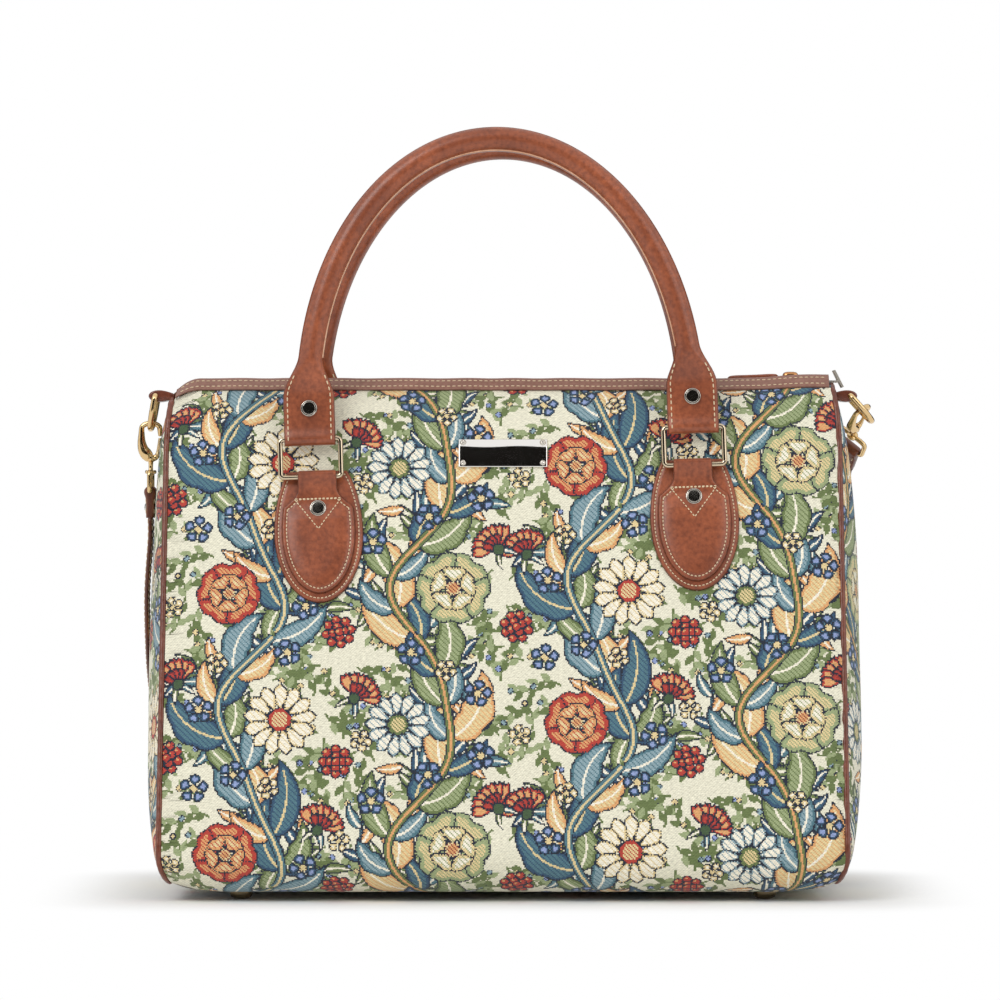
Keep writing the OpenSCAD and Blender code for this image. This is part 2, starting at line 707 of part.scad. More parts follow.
// Shoulder strap: it runs from each hook round the back and hangs in a bow there.
// Rows are the middle of the strap and the way its outer face looks.
strap_drop = hook_end - eye_drop - fold_l - gap;
left_start = left_at + [0, 0, strap_drop];
right_start = right_at - strap_drop * right_h;
right_face = sin(eye_turn[1]) * right_q - cos(eye_turn[1]) * right_y;
// Shares of half the width, of half the depth and of the height of the body.
function by_bag(x, y, z) = [x * body_w / 2, y * base_depth / 2, z * z_trim];
buckle_l = 29.6;
buckle_at = by_bag(0, 1.071, 0.123);
buckle_side = [buckle_l / 2 + 0.3, 0, 0];
left_route = concat([[left_start, [-1, 0, 0]], [left_start + [0, 0, -12], [-1, 0, 0]]],
    [[by_bag(-1.07, 0.041, 0.609), [-1, 0, 0]], [by_bag(-1.074, 0.163, 0.526), [-1, 0, 0]],
        [by_bag(-1.074, 0.367, 0.443), [-1, 0.05, 0]], [by_bag(-1.066, 0.633, 0.367), [-1, 0.2, 0]],
        [by_bag(-1.041, 0.878, 0.304), [-0.9, 0.5, 0]], [by_bag(-0.959, 1.031, 0.256), [-0.4, 1, 0]],
        [by_bag(-0.804, 1.061, 0.208), [0, 1, 0]], [by_bag(-0.619, 1.071, 0.166), [0, 1, 0]],
        [by_bag(-0.433, 1.071, 0.138), [0, 1, 0]], [by_bag(-0.247, 1.071, 0.126), [0, 1, 0]],
        [buckle_at - 1.6 * buckle_side, [0, 1, 0]], [buckle_at - buckle_side, [0, 1, 0]]]);
right_route = concat([[right_start, right_face], [right_start + 8 * right_h, right_face]],
    [[by_bag(1.021, 0.724, 0.782), [0.1, 1, 0.4]], [by_bag(0.99, 0.755, 0.699), [0, 1, 0.2]],
        [by_bag(0.938, 0.786, 0.609), [0, 1, 0.1]], [by_bag(0.866, 0.837, 0.516), [0, 1, 0]],
        [by_bag(0.778, 0.898, 0.422), [0, 1, 0]], [by_bag(0.675, 0.959, 0.336), [0, 1, 0]],
        [by_bag(0.552, 1.01, 0.26), [0, 1, 0]], [by_bag(0.407, 1.051, 0.197), [0, 1, 0]],
        [by_bag(0.247, 1.071, 0.149), [0, 1, 0]], [buckle_at + 1.8 * buckle_side, [0, 1, 0]],
        [buckle_at + buckle_side, [0, 1, 0]]]);
function strap_ring(rows, i) = let(n = len(rows), a = rows[max(i - 1, 0)][0], b = rows[min(i + 1, n - 1)][0],
        t = i == 0 ? unit(rows[1][0] - a) : unit(b - a), w = unit(cross(t, rows[i][1])), f = cross(w, t),
        p = rows[i][0], x = strap_w / 2, y = strap_t / 2)
    [p + x * w + y * f, p + x * w - y * f, p - x * w - y * f, p - x * w + y * f];
module strap(rows) {
    color("Sienna") skin([for (i = [0:len(rows) - 1]) strap_ring(rows, i)]);
}
module left_strap() {
    strap(left_route);
}
module right_strap() {
    strap(right_route);
}
// Slide buckle where the two lengths meet.
module strap_buckle() {
    color("Gold") translate(buckle_at) difference() {
        cube([buckle_l, 4.4, strap_w + 8], center = true);
        for (s = [-1, 1]) translate([s * 8, 0, 0]) cube([11, 6, strap_w + 1.6], center = true);
    }
}

front_panel();
base_panel();
rear_panel();
left_end_panel();
right_end_panel();
left_piping();
right_piping();
base_board();
feet();
front_zip_trim();
rear_zip_trim();
front_zip_tape();
rear_zip_tape();
front_zip_teeth();
rear_zip_teeth();
zip_slider();
zip_link();
zip_tag();
zip_end_clip();
name_plate();
plate_screws();
front_left_patch();
front_right_patch();
front_left_chape();
front_right_chape();
front_chape_studs();
front_left_ring();
front_right_ring();
front_handle();
front_handle_studs();
rear_left_patch();
rear_right_patch();
rear_left_chape();
rear_right_chape();
rear_chape_studs();
rear_left_ring();
rear_right_ring();
rear_handle();
rear_handle_studs();
left_tab();
right_tab();
left_dee();
right_dee();
left_hook();
right_hook();
left_gate();
right_gate();
left_eye();
right_eye();
left_strap_end();
right_strap_end();
left_strap();
right_strap();
strap_buckle();
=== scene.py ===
import bmesh
import bpy
import numpy as np
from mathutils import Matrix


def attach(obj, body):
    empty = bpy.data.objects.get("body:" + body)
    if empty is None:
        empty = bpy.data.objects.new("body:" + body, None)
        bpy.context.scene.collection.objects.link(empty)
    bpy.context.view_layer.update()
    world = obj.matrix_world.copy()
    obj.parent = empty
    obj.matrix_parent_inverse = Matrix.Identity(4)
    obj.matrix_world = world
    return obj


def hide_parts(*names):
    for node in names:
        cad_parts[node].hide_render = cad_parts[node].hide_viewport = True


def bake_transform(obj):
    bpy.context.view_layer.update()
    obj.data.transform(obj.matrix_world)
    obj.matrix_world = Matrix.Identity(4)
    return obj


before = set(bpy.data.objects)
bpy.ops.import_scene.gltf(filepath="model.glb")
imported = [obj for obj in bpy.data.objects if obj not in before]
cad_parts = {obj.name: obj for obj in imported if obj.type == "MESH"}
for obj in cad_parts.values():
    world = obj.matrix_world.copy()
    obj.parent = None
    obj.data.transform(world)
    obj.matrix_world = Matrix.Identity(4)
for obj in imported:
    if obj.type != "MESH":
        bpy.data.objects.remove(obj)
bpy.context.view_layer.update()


# The camera stands level with the middle of the picture, 2.66 m before the bag, behind a long lens.
# The bag stands a little right of the lens, as on the table in the picture.
eye = bpy.data.objects.new("camera", bpy.data.cameras.new("camera"))
eye.location = (-0.0017, -2.66, 0.227)
eye.rotation_euler = (np.pi / 2, 0, 0)
eye.data.lens = 164.2
eye.data.sensor_width = 36
bpy.context.scene.collection.objects.link(eye)
bpy.context.scene.camera = eye


# The shoulder strap is brown hide, two layers glued and sewn along both edges. It runs from the left
# hook and from the right hook round the back, where the two lengths meet in a slide buckle.
def linear(code):
    """The linear colour of an sRGB hex value."""
    c = np.array([int(code[i : i + 2], 16) / 255 for i in (1, 3, 5)])
    return (*np.where(c <= 0.04045, c / 12.92, ((c + 0.055) / 1.055) ** 2.4), 1.0)


def add(tree, kind, sources=(), stops=(), **settings):
    """Adds a node. A setting named as an input sets that input, a source is a socket to link to an input or
    a constant to set on it, and stops are the places and hex colours of a ramp."""
    made = tree.nodes.new("ShaderNode" + kind)
    for name, value in settings.items():
        if hasattr(made, name):
            setattr(made, name, value)
        else:
            made.inputs[name.replace("_", " ")].default_value = value
    for name, source in dict(sources).items():
        if isinstance(source, bpy.types.NodeSocket):
            tree.links.new(source, made.inputs[name])
        else:
            made.inputs[name].default_value = source
    for k, (at, code) in enumerate(stops):
        made.color_ramp.elements[k].position = at
        made.color_ramp.elements[k].color = linear(code)
    return made


def finish_of(name, **settings):
    """A new material with one Principled shader, and its tree and that shader."""
    made = bpy.data.materials.new(name)
    made.use_nodes = True
    shader = made.node_tree.nodes["Principled BSDF"]
    for key, value in settings.items():
        shader.inputs[key.replace("_", " ")].default_value = value
    return made, made.node_tree, shader


def drummed_hide(name, light, dark, rough):
    """Drum-dyed hide with a waxed face: clouds of colour 26 mm wide broken by flecks of 2 mm, shallow pores 1.1
    mm wide, and darkening where the mesh marks it: cut edges burnished dark, and painted shade along the seam
    groove of patches and chapes."""
    made, tree, shader = finish_of(name, Roughness=rough, IOR=1.48, Coat_Weight=0.22, Coat_Roughness=0.24)
    place = add(tree, "TexCoord").outputs["Object"]
    cloud = add(tree, "TexNoise", {"Vector": place}, Scale=38.0, Detail=5.0, Roughness=0.6).outputs["Fac"]
    pores = add(tree, "TexVoronoi", {"Vector": place}, Scale=1000 / 1.1, Randomness=0.9)
    fleck = add(tree, "TexNoise", {"Vector": place}, Scale=420.0, Detail=3.0)
    blend = add(tree, "Math", {0: cloud, 1: fleck.outputs["Fac"], 2: 0.06}, operation="MULTIPLY_ADD")
    dye = add(tree, "ValToRGB", {"Fac": blend.outputs[0]}, stops=[(0.17, dark), (0.47, light)])
    edge = add(tree, "Attribute", attribute_name="edge")
    burnish_and_groove_shade = add(tree, "Mix", {0: edge.outputs["Fac"], 6: dye.outputs["Color"], 7: linear("#4A2012")},
        data_type="RGBA")
    tree.links.new(burnish_and_groove_shade.outputs[2], shader.inputs["Base Color"])
    low = add(tree, "Bump", {"Height": cloud}, Strength=0.25, Distance=0.0012)
    fine = add(tree, "Bump", {"Height": pores.outputs["Distance"], "Normal": low.outputs[0]},
        Strength=0.16, Distance=0.0002)
    tree.links.new(fine.outputs[0], shader.inputs["Normal"])
    return made


def lattice(rows, cols, around=False, along=False):
    """Four corners of each cell of a grid, closed across its columns or its rows where asked."""
    i, j = np.meshgrid(np.arange(rows - (not along)), np.arange(cols - (not around)), indexing="ij")
    k, l = (i + 1) % rows, (j + 1) % cols
    return np.stack([i * cols + j, i * cols + l, k * cols + l, k * cols + j], -1).reshape(-1, 4)


def flat_caps(sides):
    """Cells that close the end of a flattened tube, in strips from one edge to the other."""
    return np.array([[k, k + 1, sides - 2 - k, sides - 1 - k] for k in range(sides // 2 - 1)])


def capped(rows, sides):
    """Cells of a tube that is closed flat at its first and at its last row."""
    caps = flat_caps(sides)
    return np.concatenate([lattice(rows, sides, around=True), caps[:, ::-1], caps + (rows - 1) * sides])


def piece(name, points, quads, finish, body, replaces=(), smooth=True, edge=None, closed=True):
    """One object at the origin, from points in millimetres, that rides on a body of the frame. Its poles are
    closed: points less than 0.06 mm apart become one."""
    mesh = bpy.data.meshes.new(name)
    mesh.from_pydata(np.asarray(points).reshape(-1, 3) * 0.001, [], np.asarray(quads))
    mesh.polygons.foreach_set("use_smooth", np.full(len(mesh.polygons), smooth))
    if edge is not None:
        marks = mesh.attributes.new("edge", "FLOAT", "POINT")
        marks.data.foreach_set("value", np.asarray(edge, np.float32).ravel())
    if closed:
        shell = bmesh.new()
        shell.from_mesh(mesh)
        bmesh.ops.remove_doubles(shell, verts=shell.verts, dist=6e-5)
        shell.to_mesh(mesh)
        shell.free()
    mesh.materials.append(finish)
    made = bpy.data.objects.new(name, mesh)
    bpy.context.scene.collection.objects.link(made)
    if body:
        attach(made, body)
    if replaces:
        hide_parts(*replaces)
    return made


def unit(v):
    """Vectors divided by their lengths."""
    return v / np.linalg.norm(v, axis=-1, keepdims=True)


def turn_of(count):
    """Even steps of angle round a full turn."""
    return np.linspace(0, 2 * np.pi, count, endpoint=False)


def squared(angle, p, q):
    """Cosine and sine, their signs kept and their sizes raised to powers: powers below one square a circle."""
    c, s = np.cos(angle), np.sin(angle)
    return np.sign(c) * np.abs(c) ** p, np.sign(s) * np.abs(s) ** q


def run_of(line):
    """Length along a line of points from its start to each of them."""
    return np.concatenate([[0], np.cumsum(np.linalg.norm(np.diff(line, axis=0), axis=1))])


def read(line, run, at):
    """The columns of a line, read between its points at places of its run."""
    return np.stack([np.interp(at, run, column) for column in line.T], 1)


def bow(points, count):
    """A smooth line through a few points: a Catmull-Rom curve, read at even steps of its length."""
    p = np.concatenate([[2 * points[0] - points[1]], points, [2 * points[-1] - points[-2]]])
    t = np.linspace(0, 1, 24, endpoint=False)[None, :, None]
    a, b, c, d = (p[k : len(p) - 3 + k, None] for k in range(4))
    line = 0.5 * (2 * b + (c - a) * t + (2 * a - 5 * b + 4 * c - d) * t**2 + (3 * b - a - 3 * c + d) * t**3)
    line = np.concatenate([line.reshape(-1, points.shape[1]), points[-1:]])
    run = run_of(line[:, :3])
    return read(line, run, np.linspace(0, run[-1], count))


def stitches(name, lines, body, pitch=3.9, length=2.9, thick=0.42):
    """Sewn lines: at even steps along each line of points and outward normals lies one plump stitch, a
    hexagonal bar that narrows at both ends."""
    hexagon = np.arange(6) * np.pi / 3
    reach = np.array([-0.5, -0.3, 0.3, 0.5])[:, None] * length + 0 * hexagon
    full = np.array([0.3, 1.0, 1.0, 0.3])[:, None] * thick
    form = np.stack([reach, full * np.cos(hexagon) * 1.15, full * np.sin(hexagon) + 0.1], -1).reshape(-1, 3)
    ends = np.array([[0, 1, 2, 3], [0, 3, 4, 5], [18, 21, 20, 19], [18, 23, 22, 21]])
    cells = np.concatenate([lattice(4, 6, around=True), ends])
    points = []
    for line, normal in lines:
        run = run_of(line)
        count = max(2, int(run[-1] / pitch))
        mid = (np.arange(count) + 0.5) * run[-1] / count
        way = unit(read(line, run, mid + 0.4) - read(line, run, mid - 0.4))
        side = unit(np.cross(read(normal, run, mid), way))
        axes = np.stack([way, side, np.cross(way, side)], 1)
        points.append(read(line, run, mid)[:, None] + form @ axes)
    points = np.concatenate(points)
    quads = (np.arange(len(points))[:, None, None] * len(form) + cells).reshape(-1, 4)
    return piece(name, points, quads, thread, body)


# Waxed polyester thread: cream, with a soft gloss and the twist of its plies, 0.7 mm apart.
thread, tree, shader = finish_of("waxed_thread", Roughness=0.55, Sheen_Weight=0.2)
place = add(tree, "TexCoord").outputs["Object"]
ply = add(tree, "TexWave", {"Vector": place}, bands_direction="DIAGONAL", Scale=900.0)
cream = add(tree, "ValToRGB", {"Fac": ply.outputs["Fac"]}, stops=[(0, "#C9AE86"), (1, "#EBD9B8")])
tree.links.new(cream.outputs["Color"], shader.inputs["Base Color"])
# Strap hide: darker than the handles, partly as a darker brown and partly as painted shade for the shade the
# strap hangs in, and a little glossier, rubbed smooth by wear.
strap_hide_with_painted_shade = drummed_hide("brown_strap_hide_with_painted_shade", "#84492F", "#5F311F", 0.34)

half_w, half_d, rise = 194.0, 98.0, 289.0
bag_size = [half_w, half_d, rise]
strap_w, strap_t, strap_rows, strap_sides = 16.0, 2.4, 150, 28
left_exit = np.array([-205.334, 0, 216.492])
right_exit = np.array([202.338, 53.793, 250.693])
right_way = np.array([-0.145448, 0.830489, -0.537711])
buckle = np.array([0, 1.071 * half_d, 0.123 * rise])
# Routes as shares of the bag's half width, half depth and height, with the way the face looks.
left_route = np.concatenate([[left_exit, left_exit - [0, 0, 12]],
    np.array([[-1.07, 0.041, 0.609], [-1.074, 0.163, 0.526], [-1.074, 0.367, 0.443], [-1.066, 0.633, 0.367],
        [-1.041, 0.878, 0.304], [-0.959, 1.031, 0.256], [-0.804, 1.061, 0.208], [-0.619, 1.071, 0.166],
        [-0.433, 1.071, 0.138], [-0.247, 1.071, 0.126]]) * bag_size,
    [buckle - [24.2, 0, 0], buckle - [15.1, 0, 0]]])
left_face = np.array([[-1, 0, 0]] * 4 + [[-1, 0.05, 0], [-1, 0.2, 0], [-0.9, 0.5, 0], [-0.4, 1, 0]]
    + [[0, 1, 0]] * 6)
right_route = np.concatenate([[right_exit, right_exit + 8 * right_way],
    np.array([[1.021, 0.724, 0.782], [0.99, 0.755, 0.699], [0.938, 0.786, 0.609], [0.866, 0.837, 0.516],
        [0.778, 0.898, 0.422], [0.675, 0.959, 0.336], [0.552, 1.01, 0.26], [0.407, 1.051, 0.197],
        [0.247, 1.071, 0.149]]) * bag_size,
    [buckle + [27.2, 0, 0], buckle + [15.1, 0, 0]]])
right_face = np.array([[0.643, 0.492, 0.587]] * 2 + [[0.1, 1, 0.4], [0, 1, 0.2], [0, 1, 0.1]] + [[0, 1, 0]] * 8)
round_edge = turn_of(strap_sides)
band = np.stack(squared(round_edge, 0.3, 0.6), 1) * [strap_w / 2, strap_t / 2]
burnish = 0.8 * np.abs(np.cos(round_edge)) ** 6 * (np.abs(band[:, 0]) > 7.7)
seam_x, seam_out, bend_start, bend_end, sewn_from = 6.1, 1.08, 38, 3, 40
for side, route, face in (("left", left_route, left_face), ("right", right_route, right_face)):
    line = bow(np.concatenate([route, unit(face)], 1), strap_rows)
    mid, out = line[:, :3], line[:, 3:]
    way = unit(np.gradient(mid, axis=0))
    across = unit(np.cross(way, out))
    out = np.cross(across, way)
    shell = mid[:, None] + band[:, :1] * across[:, None] + band[:, 1:] * out[:, None]
    strap = piece(f"{side}_strap_leather", shell, capped(strap_rows, strap_sides)[:, ::-1], strap_hide_with_painted_shade, None,
        [f"{side}_strap"], edge=np.broadcast_to(burnish, (strap_rows, strap_sides)))
    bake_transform(strap)
    seams = [(mid + s * seam_x * across + f * seam_out * out, f * out) for s in (-1, 1) for f in (-1, 1)]
    stitches(f"{side}_strap_stitches", [(a[sewn_from:], b[sewn_from:]) for a, b in seams], "bag", thick=0.3)
    upper = stitches(f"{side}_strap_end_stitches", [(a[: sewn_from + 1], b[: sewn_from + 1]) for a, b in seams],
        None, thick=0.3)
    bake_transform(upper)


# The body is jacquard tapestry: cotton wefts in fourteen colours show on the face where the flowers
# call for them. Front, base and rear are sewn together underneath, and drawn in to the end seams.
cell = 0.78
tile_cols, tile_rows = 254, 194
tile_w, tile_h = tile_cols * cell, tile_rows * cell
wefts = ["#E5E1CB", "#1B2334", "#98A478", "#667545", "#42583A", "#4E7480", "#2F4F6B", "#8AA3AB",
    "#B43D31", "#85292B", "#DBA26B", "#E0CA96", "#F2EBD8", "#8D9DC8"]
ground, outline, sage, moss, green, teal, blue, mist, red, wine, peach, straw, ivory, lilac = range(14)
point_paper = np.full((tile_rows, tile_cols), ground, np.uint8)


def paper_at(col, row):
    """Places on the point paper of columns and rows of the cloth: each repeat to the right stands half a
    repeat lower than the one before."""
    down = (row[:, None] - col[None, :] // tile_cols * (tile_rows // 2)) % tile_rows
    return down, np.broadcast_to(col % tile_cols, down.shape)


def weave(shape, bands, line=0.3, hatch=None):
    """Signed distance from each crossing to a closed shape, positive inside, picks the weft there: bands of
    depth from the rim inwards, a dark line with a dotted inner rim, and a slanting hatch."""
    low = np.floor((shape.min(0) - 1.5) / cell).astype(int)
    high = np.ceil((shape.max(0) + 1.5) / cell).astype(int)
    ix, iy = np.arange(low[0], high[0]), np.arange(low[1], high[1])
    px, py = (ix[None, :, None] + 0.5) * cell, (iy[:, None, None] + 0.5) * cell
    a, b = shape, np.roll(shape, -1, 0)
    (ax, ay), (dx, dy) = a.T, (b - a).T
    along = np.clip(((px - ax) * dx + (py - ay) * dy) / (dx * dx + dy * dy + 1e-9), 0, 1)
    near = np.sqrt(((px - ax - along * dx) ** 2 + (py - ay - along * dy) ** 2).min(-1))
    crossed = ((ay > py) != (b[:, 1] > py)) & (px < dx * (py - ay) / np.where(dy == 0, 1e-9, dy) + ax)
    depth = np.where(crossed.sum(-1) % 2 == 1, near, -near)
    slant = ix[None, :] + iy[:, None]
    at = paper_at(ix, iy)
    part = point_paper[at]
    if line:
        part[depth > -line] = outline
    for start, weft in bands:
        part[depth > start] = weft
    if line:
        part[(depth > 0) & (depth < 0.8) & (slant % 2 == 0)] = outline
    if hatch:
        start, step, weft = hatch
        part[(depth > start) & (slant % step == 0)] = weft
    point_paper[at] = part


def turned(points, angle, at):
    """Points turned by an angle about the origin, and then moved."""
    c, s = np.cos(angle), np.sin(angle)
    return points @ np.array([[c, s], [-s, c]]) + at


def bearing(start, end):
    """Angle of the way from one point to another."""
    return np.arctan2(end[1] - start[1], end[0] - start[0])


def stroke(path, width):
    """A line of the given width: the path pushed out along its normals to both sides."""
    way = np.gradient(path, axis=0)
    normal = unit(np.stack([-way[:, 1], way[:, 0]], 1))
    half = (np.broadcast_to(np.asarray(width, float), (len(path),)) / 2)[:, None]
    return np.concatenate([path + normal * half, (path - normal * half)[::-1]])


def bent(length, bend, n=16):
    """A path whose heading turns evenly by bend radians over its length."""
    heading = bend * np.linspace(0, 1, n)[:-1]
    steps = np.stack([np.cos(heading), np.sin(heading)], 1) * length / (n - 1)
    return np.concatenate([[[0, 0]], np.cumsum(steps, 0)])


def leaf(at, angle, length, width, bend, fill, light, vein, lobes=0):
    """A lance-shaped leaf on a bent rib, lobed where asked, with a dark rim and a light middle."""
    path = turned(bent(length, bend), angle, at)
    t = np.linspace(0, 1, len(path))
    half = width * np.sin(np.pi * t**0.75) ** 0.9 * (1 + 0.22 * np.abs(np.sin(np.pi * lobes * t)))
    weave(stroke(path, np.maximum(half, 0.2)), [(0.3, fill), (1.9, light)], hatch=(0.7, 4, fill))
    weave(stroke(path[1:-2], np.linspace(1.3, 0.7, len(path) - 3)), [(-0.1, vein)], line=0)


def petals(at, radius, n, width, start, bands, notch=0.0, hollow=0.22, hatch=None, sweep=2 * np.pi):
    """Petals in a ring or fan: each is a drop from the hollow to the radius, notched at its tip."""
    t = np.linspace(0, 1, 15)
    r, half = hollow + (1 - hollow) * t, width * np.sin(np.pi * t**1.5) ** 0.8
    flank = np.stack([r, half], 1)[:-1]
    drop = np.concatenate([flank, [[1 - notch, 0.0]], (flank * [1, -1])[::-1]]) * radius
    for k in range(n):
        weave(turned(drop, start + sweep * k / n, at), bands, hatch=hatch)


def disc(at, radius, bands, line=0.3, hatch=None, n=18):
    """A circle of n sides."""
    a = turn_of(n)
    weave(np.stack([np.cos(a), np.sin(a)], 1) * radius + at, bands, line=line, hatch=hatch)


# Sprigs fill the ground first: scattered stalks with four small leaves and a bud.
rng = np.random.default_rng(11)
tile = np.array([tile_w, tile_h])
spots = np.zeros((0, 2))
for spot in rng.uniform((0, 0), (tile_w, tile_h), (1800, 2)):
    away = (spots - spot + tile / 2) % tile - tile / 2
    if not len(spots) or np.hypot(*away.T).min() > 10.5:
        spots = np.concatenate([spots, [spot]])
leaflet = 3.7 * np.sin(np.pi * np.linspace(0, 1, 9) ** 0.8) + 0.1
for spot in spots:
    path = turned(bent(17, rng.choice([-1, 1]) * rng.uniform(0.9, 1.7)), rng.uniform(0, 2 * np.pi), spot)
    weave(stroke(path, 1.1), [(-0.1, moss)], line=0)
    for i, s in ((3, 1), (6, -1), (9, 1), (12, -1)):
        shade = (sage, moss, sage, moss)[rng.integers(4)]
        rib = turned(bent(7.4, -0.5 * s, 9), bearing(path[i], path[i + 1]) + 0.85 * s, path[i])
        weave(stroke(rib, leaflet), [(-0.1, shade)], line=0)
    disc(path[-1], 1.7, [(0.0, rng.choice([mist, straw, lilac]))], line=0.2)
# Side shoots curl from the stems into the ground, with small rimmed leaves.
rows = np.linspace(0, tile_h, 97)
climb = 2 * np.pi * rows / tile_h
stems = [np.stack([49.5 + 99 * k + 17 * np.sin(climb + np.pi * k) + 4 * np.sin(2 * climb + 1.1 * k), rows], 1)
    for k in (0, 1)]
tones = [(teal, mist), (moss, sage), (blue, teal), (peach, straw)]
for k, path in enumerate(stems):
    for j in range(7):
        i, s = 4 + 13 * j, (-1) ** (j + k)
        shoot = turned(bent(58, -s * 2.6, 28), bearing(path[i], path[i + 2]) + s * 0.9, path[i])
        weave(stroke(shoot, np.linspace(2.6, 1.2, 28)), [(0.2, (moss, teal)[j % 2])], line=0.25)
        for m, q in enumerate(range(5, 28, 4)):
            fill, light = tones[(j + m) % 4]
            hand = 1 if m % 2 else -1
            way = bearing(shoot[q - 1], shoot[min(q + 1, 27)])
            leaf(shoot[q], way + hand * 0.95, 17, 6.6, -hand * 0.7, fill, light, ivory)
# The climbing stems carry large veined leaves in pairs, and a light rib runs up each stem.
for k, path in enumerate(stems):
    for j in range(8):
        i = 6 + 12 * j
        head = bearing(path[i - 2], path[i])
        for s in (-1, 1):
            fill, light = tones[(j + (s > 0) + 2 * k) % 4]
            length = (42, 33, 47, 30)[(j + k + (s > 0)) % 4]
            vein = ivory if light in (mist, sage, straw) else straw
            leaf(path[i], head + s * (0.75 + 0.15 * (j % 3)), length, 0.36 * length, -s * (1.1 + 0.25 * (j % 2)),
                fill, light, vein, lobes=3 * (j % 2))
for k, path in enumerate(stems):
    longer = np.concatenate([path[-9:-1] - [0, tile_h], path, path[1:9] + [0, tile_h]])
    weave(stroke(longer, 5.2), [], line=0.1)
    weave(stroke(longer, 4.0), [(0, (teal, moss)[k])], line=0)
    weave(stroke(longer, 1.4), [(0, (straw, peach)[k])], line=0)


def rose(at, radius, start, outer, inner, heart):
    """Two rings of five notched petals, the inner one turned by half a step, round a straw heart."""
    petals(at, radius, 5, 0.56, start, [(0.2, outer), (2.6, inner)], notch=0.13, hatch=(0.9, 3, outer))
    petals(at, radius * 0.62, 5, 0.54, start + np.pi / 5, [(0.2, inner), (2.0, heart)], notch=0.1,
        hatch=(0.9, 4, outer))
    disc(at, radius * 0.2, [(0.2, straw), (1.6, peach)], hatch=(0.4, 3, wine))


def daisy(at, radius, start, fill, light, heart):
    """A ring of thirteen narrow petals round a disc of a third of the radius."""
    petals(at, radius, 13, 0.2, start, [(0.2, fill), (1.1, light)], hatch=(0.9, 5, fill))
    disc(at, radius * 0.32, [(0.2, heart), (2.0, straw)], hatch=(0.4, 3, heart))


def carnation(at, angle, size):
    """Two fans of notched petals over a green cup, with a leaf swept back on either side."""
    petals(at, size, 7, 0.2, angle - 1.0, [(0.35, red), (1.3, peach)], notch=0.16, hollow=0.1, sweep=2.3)
    petals(at, size * 0.62, 4, 0.22, angle - 0.6, [(0.35, wine), (1.2, red)], notch=0.12, hollow=0.05, sweep=1.6)
    leaf(at, angle + 2.3, size * 0.7, size * 0.22, 0.6, moss, sage, ivory)
    leaf(at, angle - 2.3, size * 0.7, size * 0.22, -0.6, teal, mist, ivory)
    disc(at, size * 0.2, [(0.4, green)])


def star(at, radius, start, fill, light):
    """A ring of five broad petals round a straw dot."""
    petals(at, radius, 5, 0.4, start, [(0.3, fill), (1.3, light)])
    disc(at, radius * 0.28, [(0.2, straw)])


def berries(at, start):
    """Round berries in two rings about a middle one, each with a light spot at its upper left."""
    for ring, n in ((7.2, 8), (3.2, 4), (0, 1)):
        for a in start + turn_of(n):
            spot = at + ring * np.array([np.cos(a), np.sin(a)])
            disc(spot, 2.7, [(0.35, red)], n=12)
            disc(spot + [-0.7, 0.7], 0.8, [(0, peach)], line=0, n=8)


at = np.array([1, tile_h])
rose(at * (36, 0.25), 19, 0.3, red, peach, straw)
daisy(at * (66, 0.76), 21, 0.1, straw, ivory, red)
rose(at * (164, 0.27), 22, 0.9, sage, straw, ivory)
daisy(at * (133, 0.74), 19, 0.2, mist, ivory, moss)
for u, v, a in ((99, 0.1, 0.2), (2, 0.62, 0.5), (98, 0.6, 0.0)):
    berries(at * (u, v), a)
for u, v, a in ((88, 0.34, 1.2), (8, 0.9, 2.0), (108, 0.84, 1.0), (190, 0.42, 2.3)):
    carnation(at * (u, v), a, 17)
for u, v, a in ((18, 0.5, 0.2), (80, 0.2, 0.7), (118, 0.45, 0.3), (180, 0.62, 0.5), (40, 0.55, 0.0),
        (150, 0.55, 0.9), (20, 0.8, 0.4), (178, 0.86, 0.1), (70, 0.02, 0.6), (140, 0.02, 0.2)):
    star(at * (u, v), 8.2, a, blue, lilac)
for u, v in ((100, 0.3), (4, 0.2), (60, 0.5), (160, 0.95), (112, 0.68), (30, 0.98)):
    star(at * (u, v), 6.5, v * 9, straw, ivory)

# Jacquard cotton tapestry: matt, ribbed by its wefts and crossed by a fine slanting twill, with a tone
# that varies faintly in patches 60 mm wide. The twill is drawn at 1.7 mm and the flecks at 0.8 by 2 mm,
# coarser than the yarn, so that they show.
wave = 0.6283  # a wave texture's scale is this over the spacing of its bands
tapestry, tree, shader = finish_of("cotton_tapestry", Roughness=0.86, Sheen_Weight=0.15, Sheen_Roughness=0.6,
    IOR=1.45)
dyed = add(tree, "Attribute", attribute_name="weft")
lie = add(tree, "UVMap", uv_map="cloth").outputs[0]
twill = add(tree, "TexWave", {"Vector": lie}, bands_direction="DIAGONAL", Scale=wave / 0.0017, Distortion=0.6)
yarn = add(tree, "Mapping", {"Vector": lie, "Scale": (500, 1250, 1)}, vector_type="POINT")
fleck = add(tree, "TexNoise", {"Vector": yarn.outputs[0]}, Scale=1.0, Detail=2.0)
soil = add(tree, "TexNoise", {"Vector": lie}, Scale=16.0, Detail=4.0)
light = 0.52
for source, gain in ((fleck, 0.85), (twill, 0.13), (soil, -0.1)):
    light = add(tree, "Math", {0: source.outputs["Fac"], 1: gain, 2: light}, operation="MULTIPLY_ADD").outputs[0]
tint = add(tree, "VectorMath", {0: dyed.outputs["Color"], 1: light}, operation="MULTIPLY")
tree.links.new(tint.outputs[0], shader.inputs["Base Color"])
ribs = add(tree, "Bump", {"Height": fleck.outputs["Fac"]}, Strength=0.35, Distance=0.0005)
rough = add(tree, "Bump", {"Height": twill.outputs["Fac"], "Normal": ribs.outputs[0]},
    Strength=0.2, Distance=0.0004)
tree.links.new(rough.outputs[0], shader.inputs["Normal"])

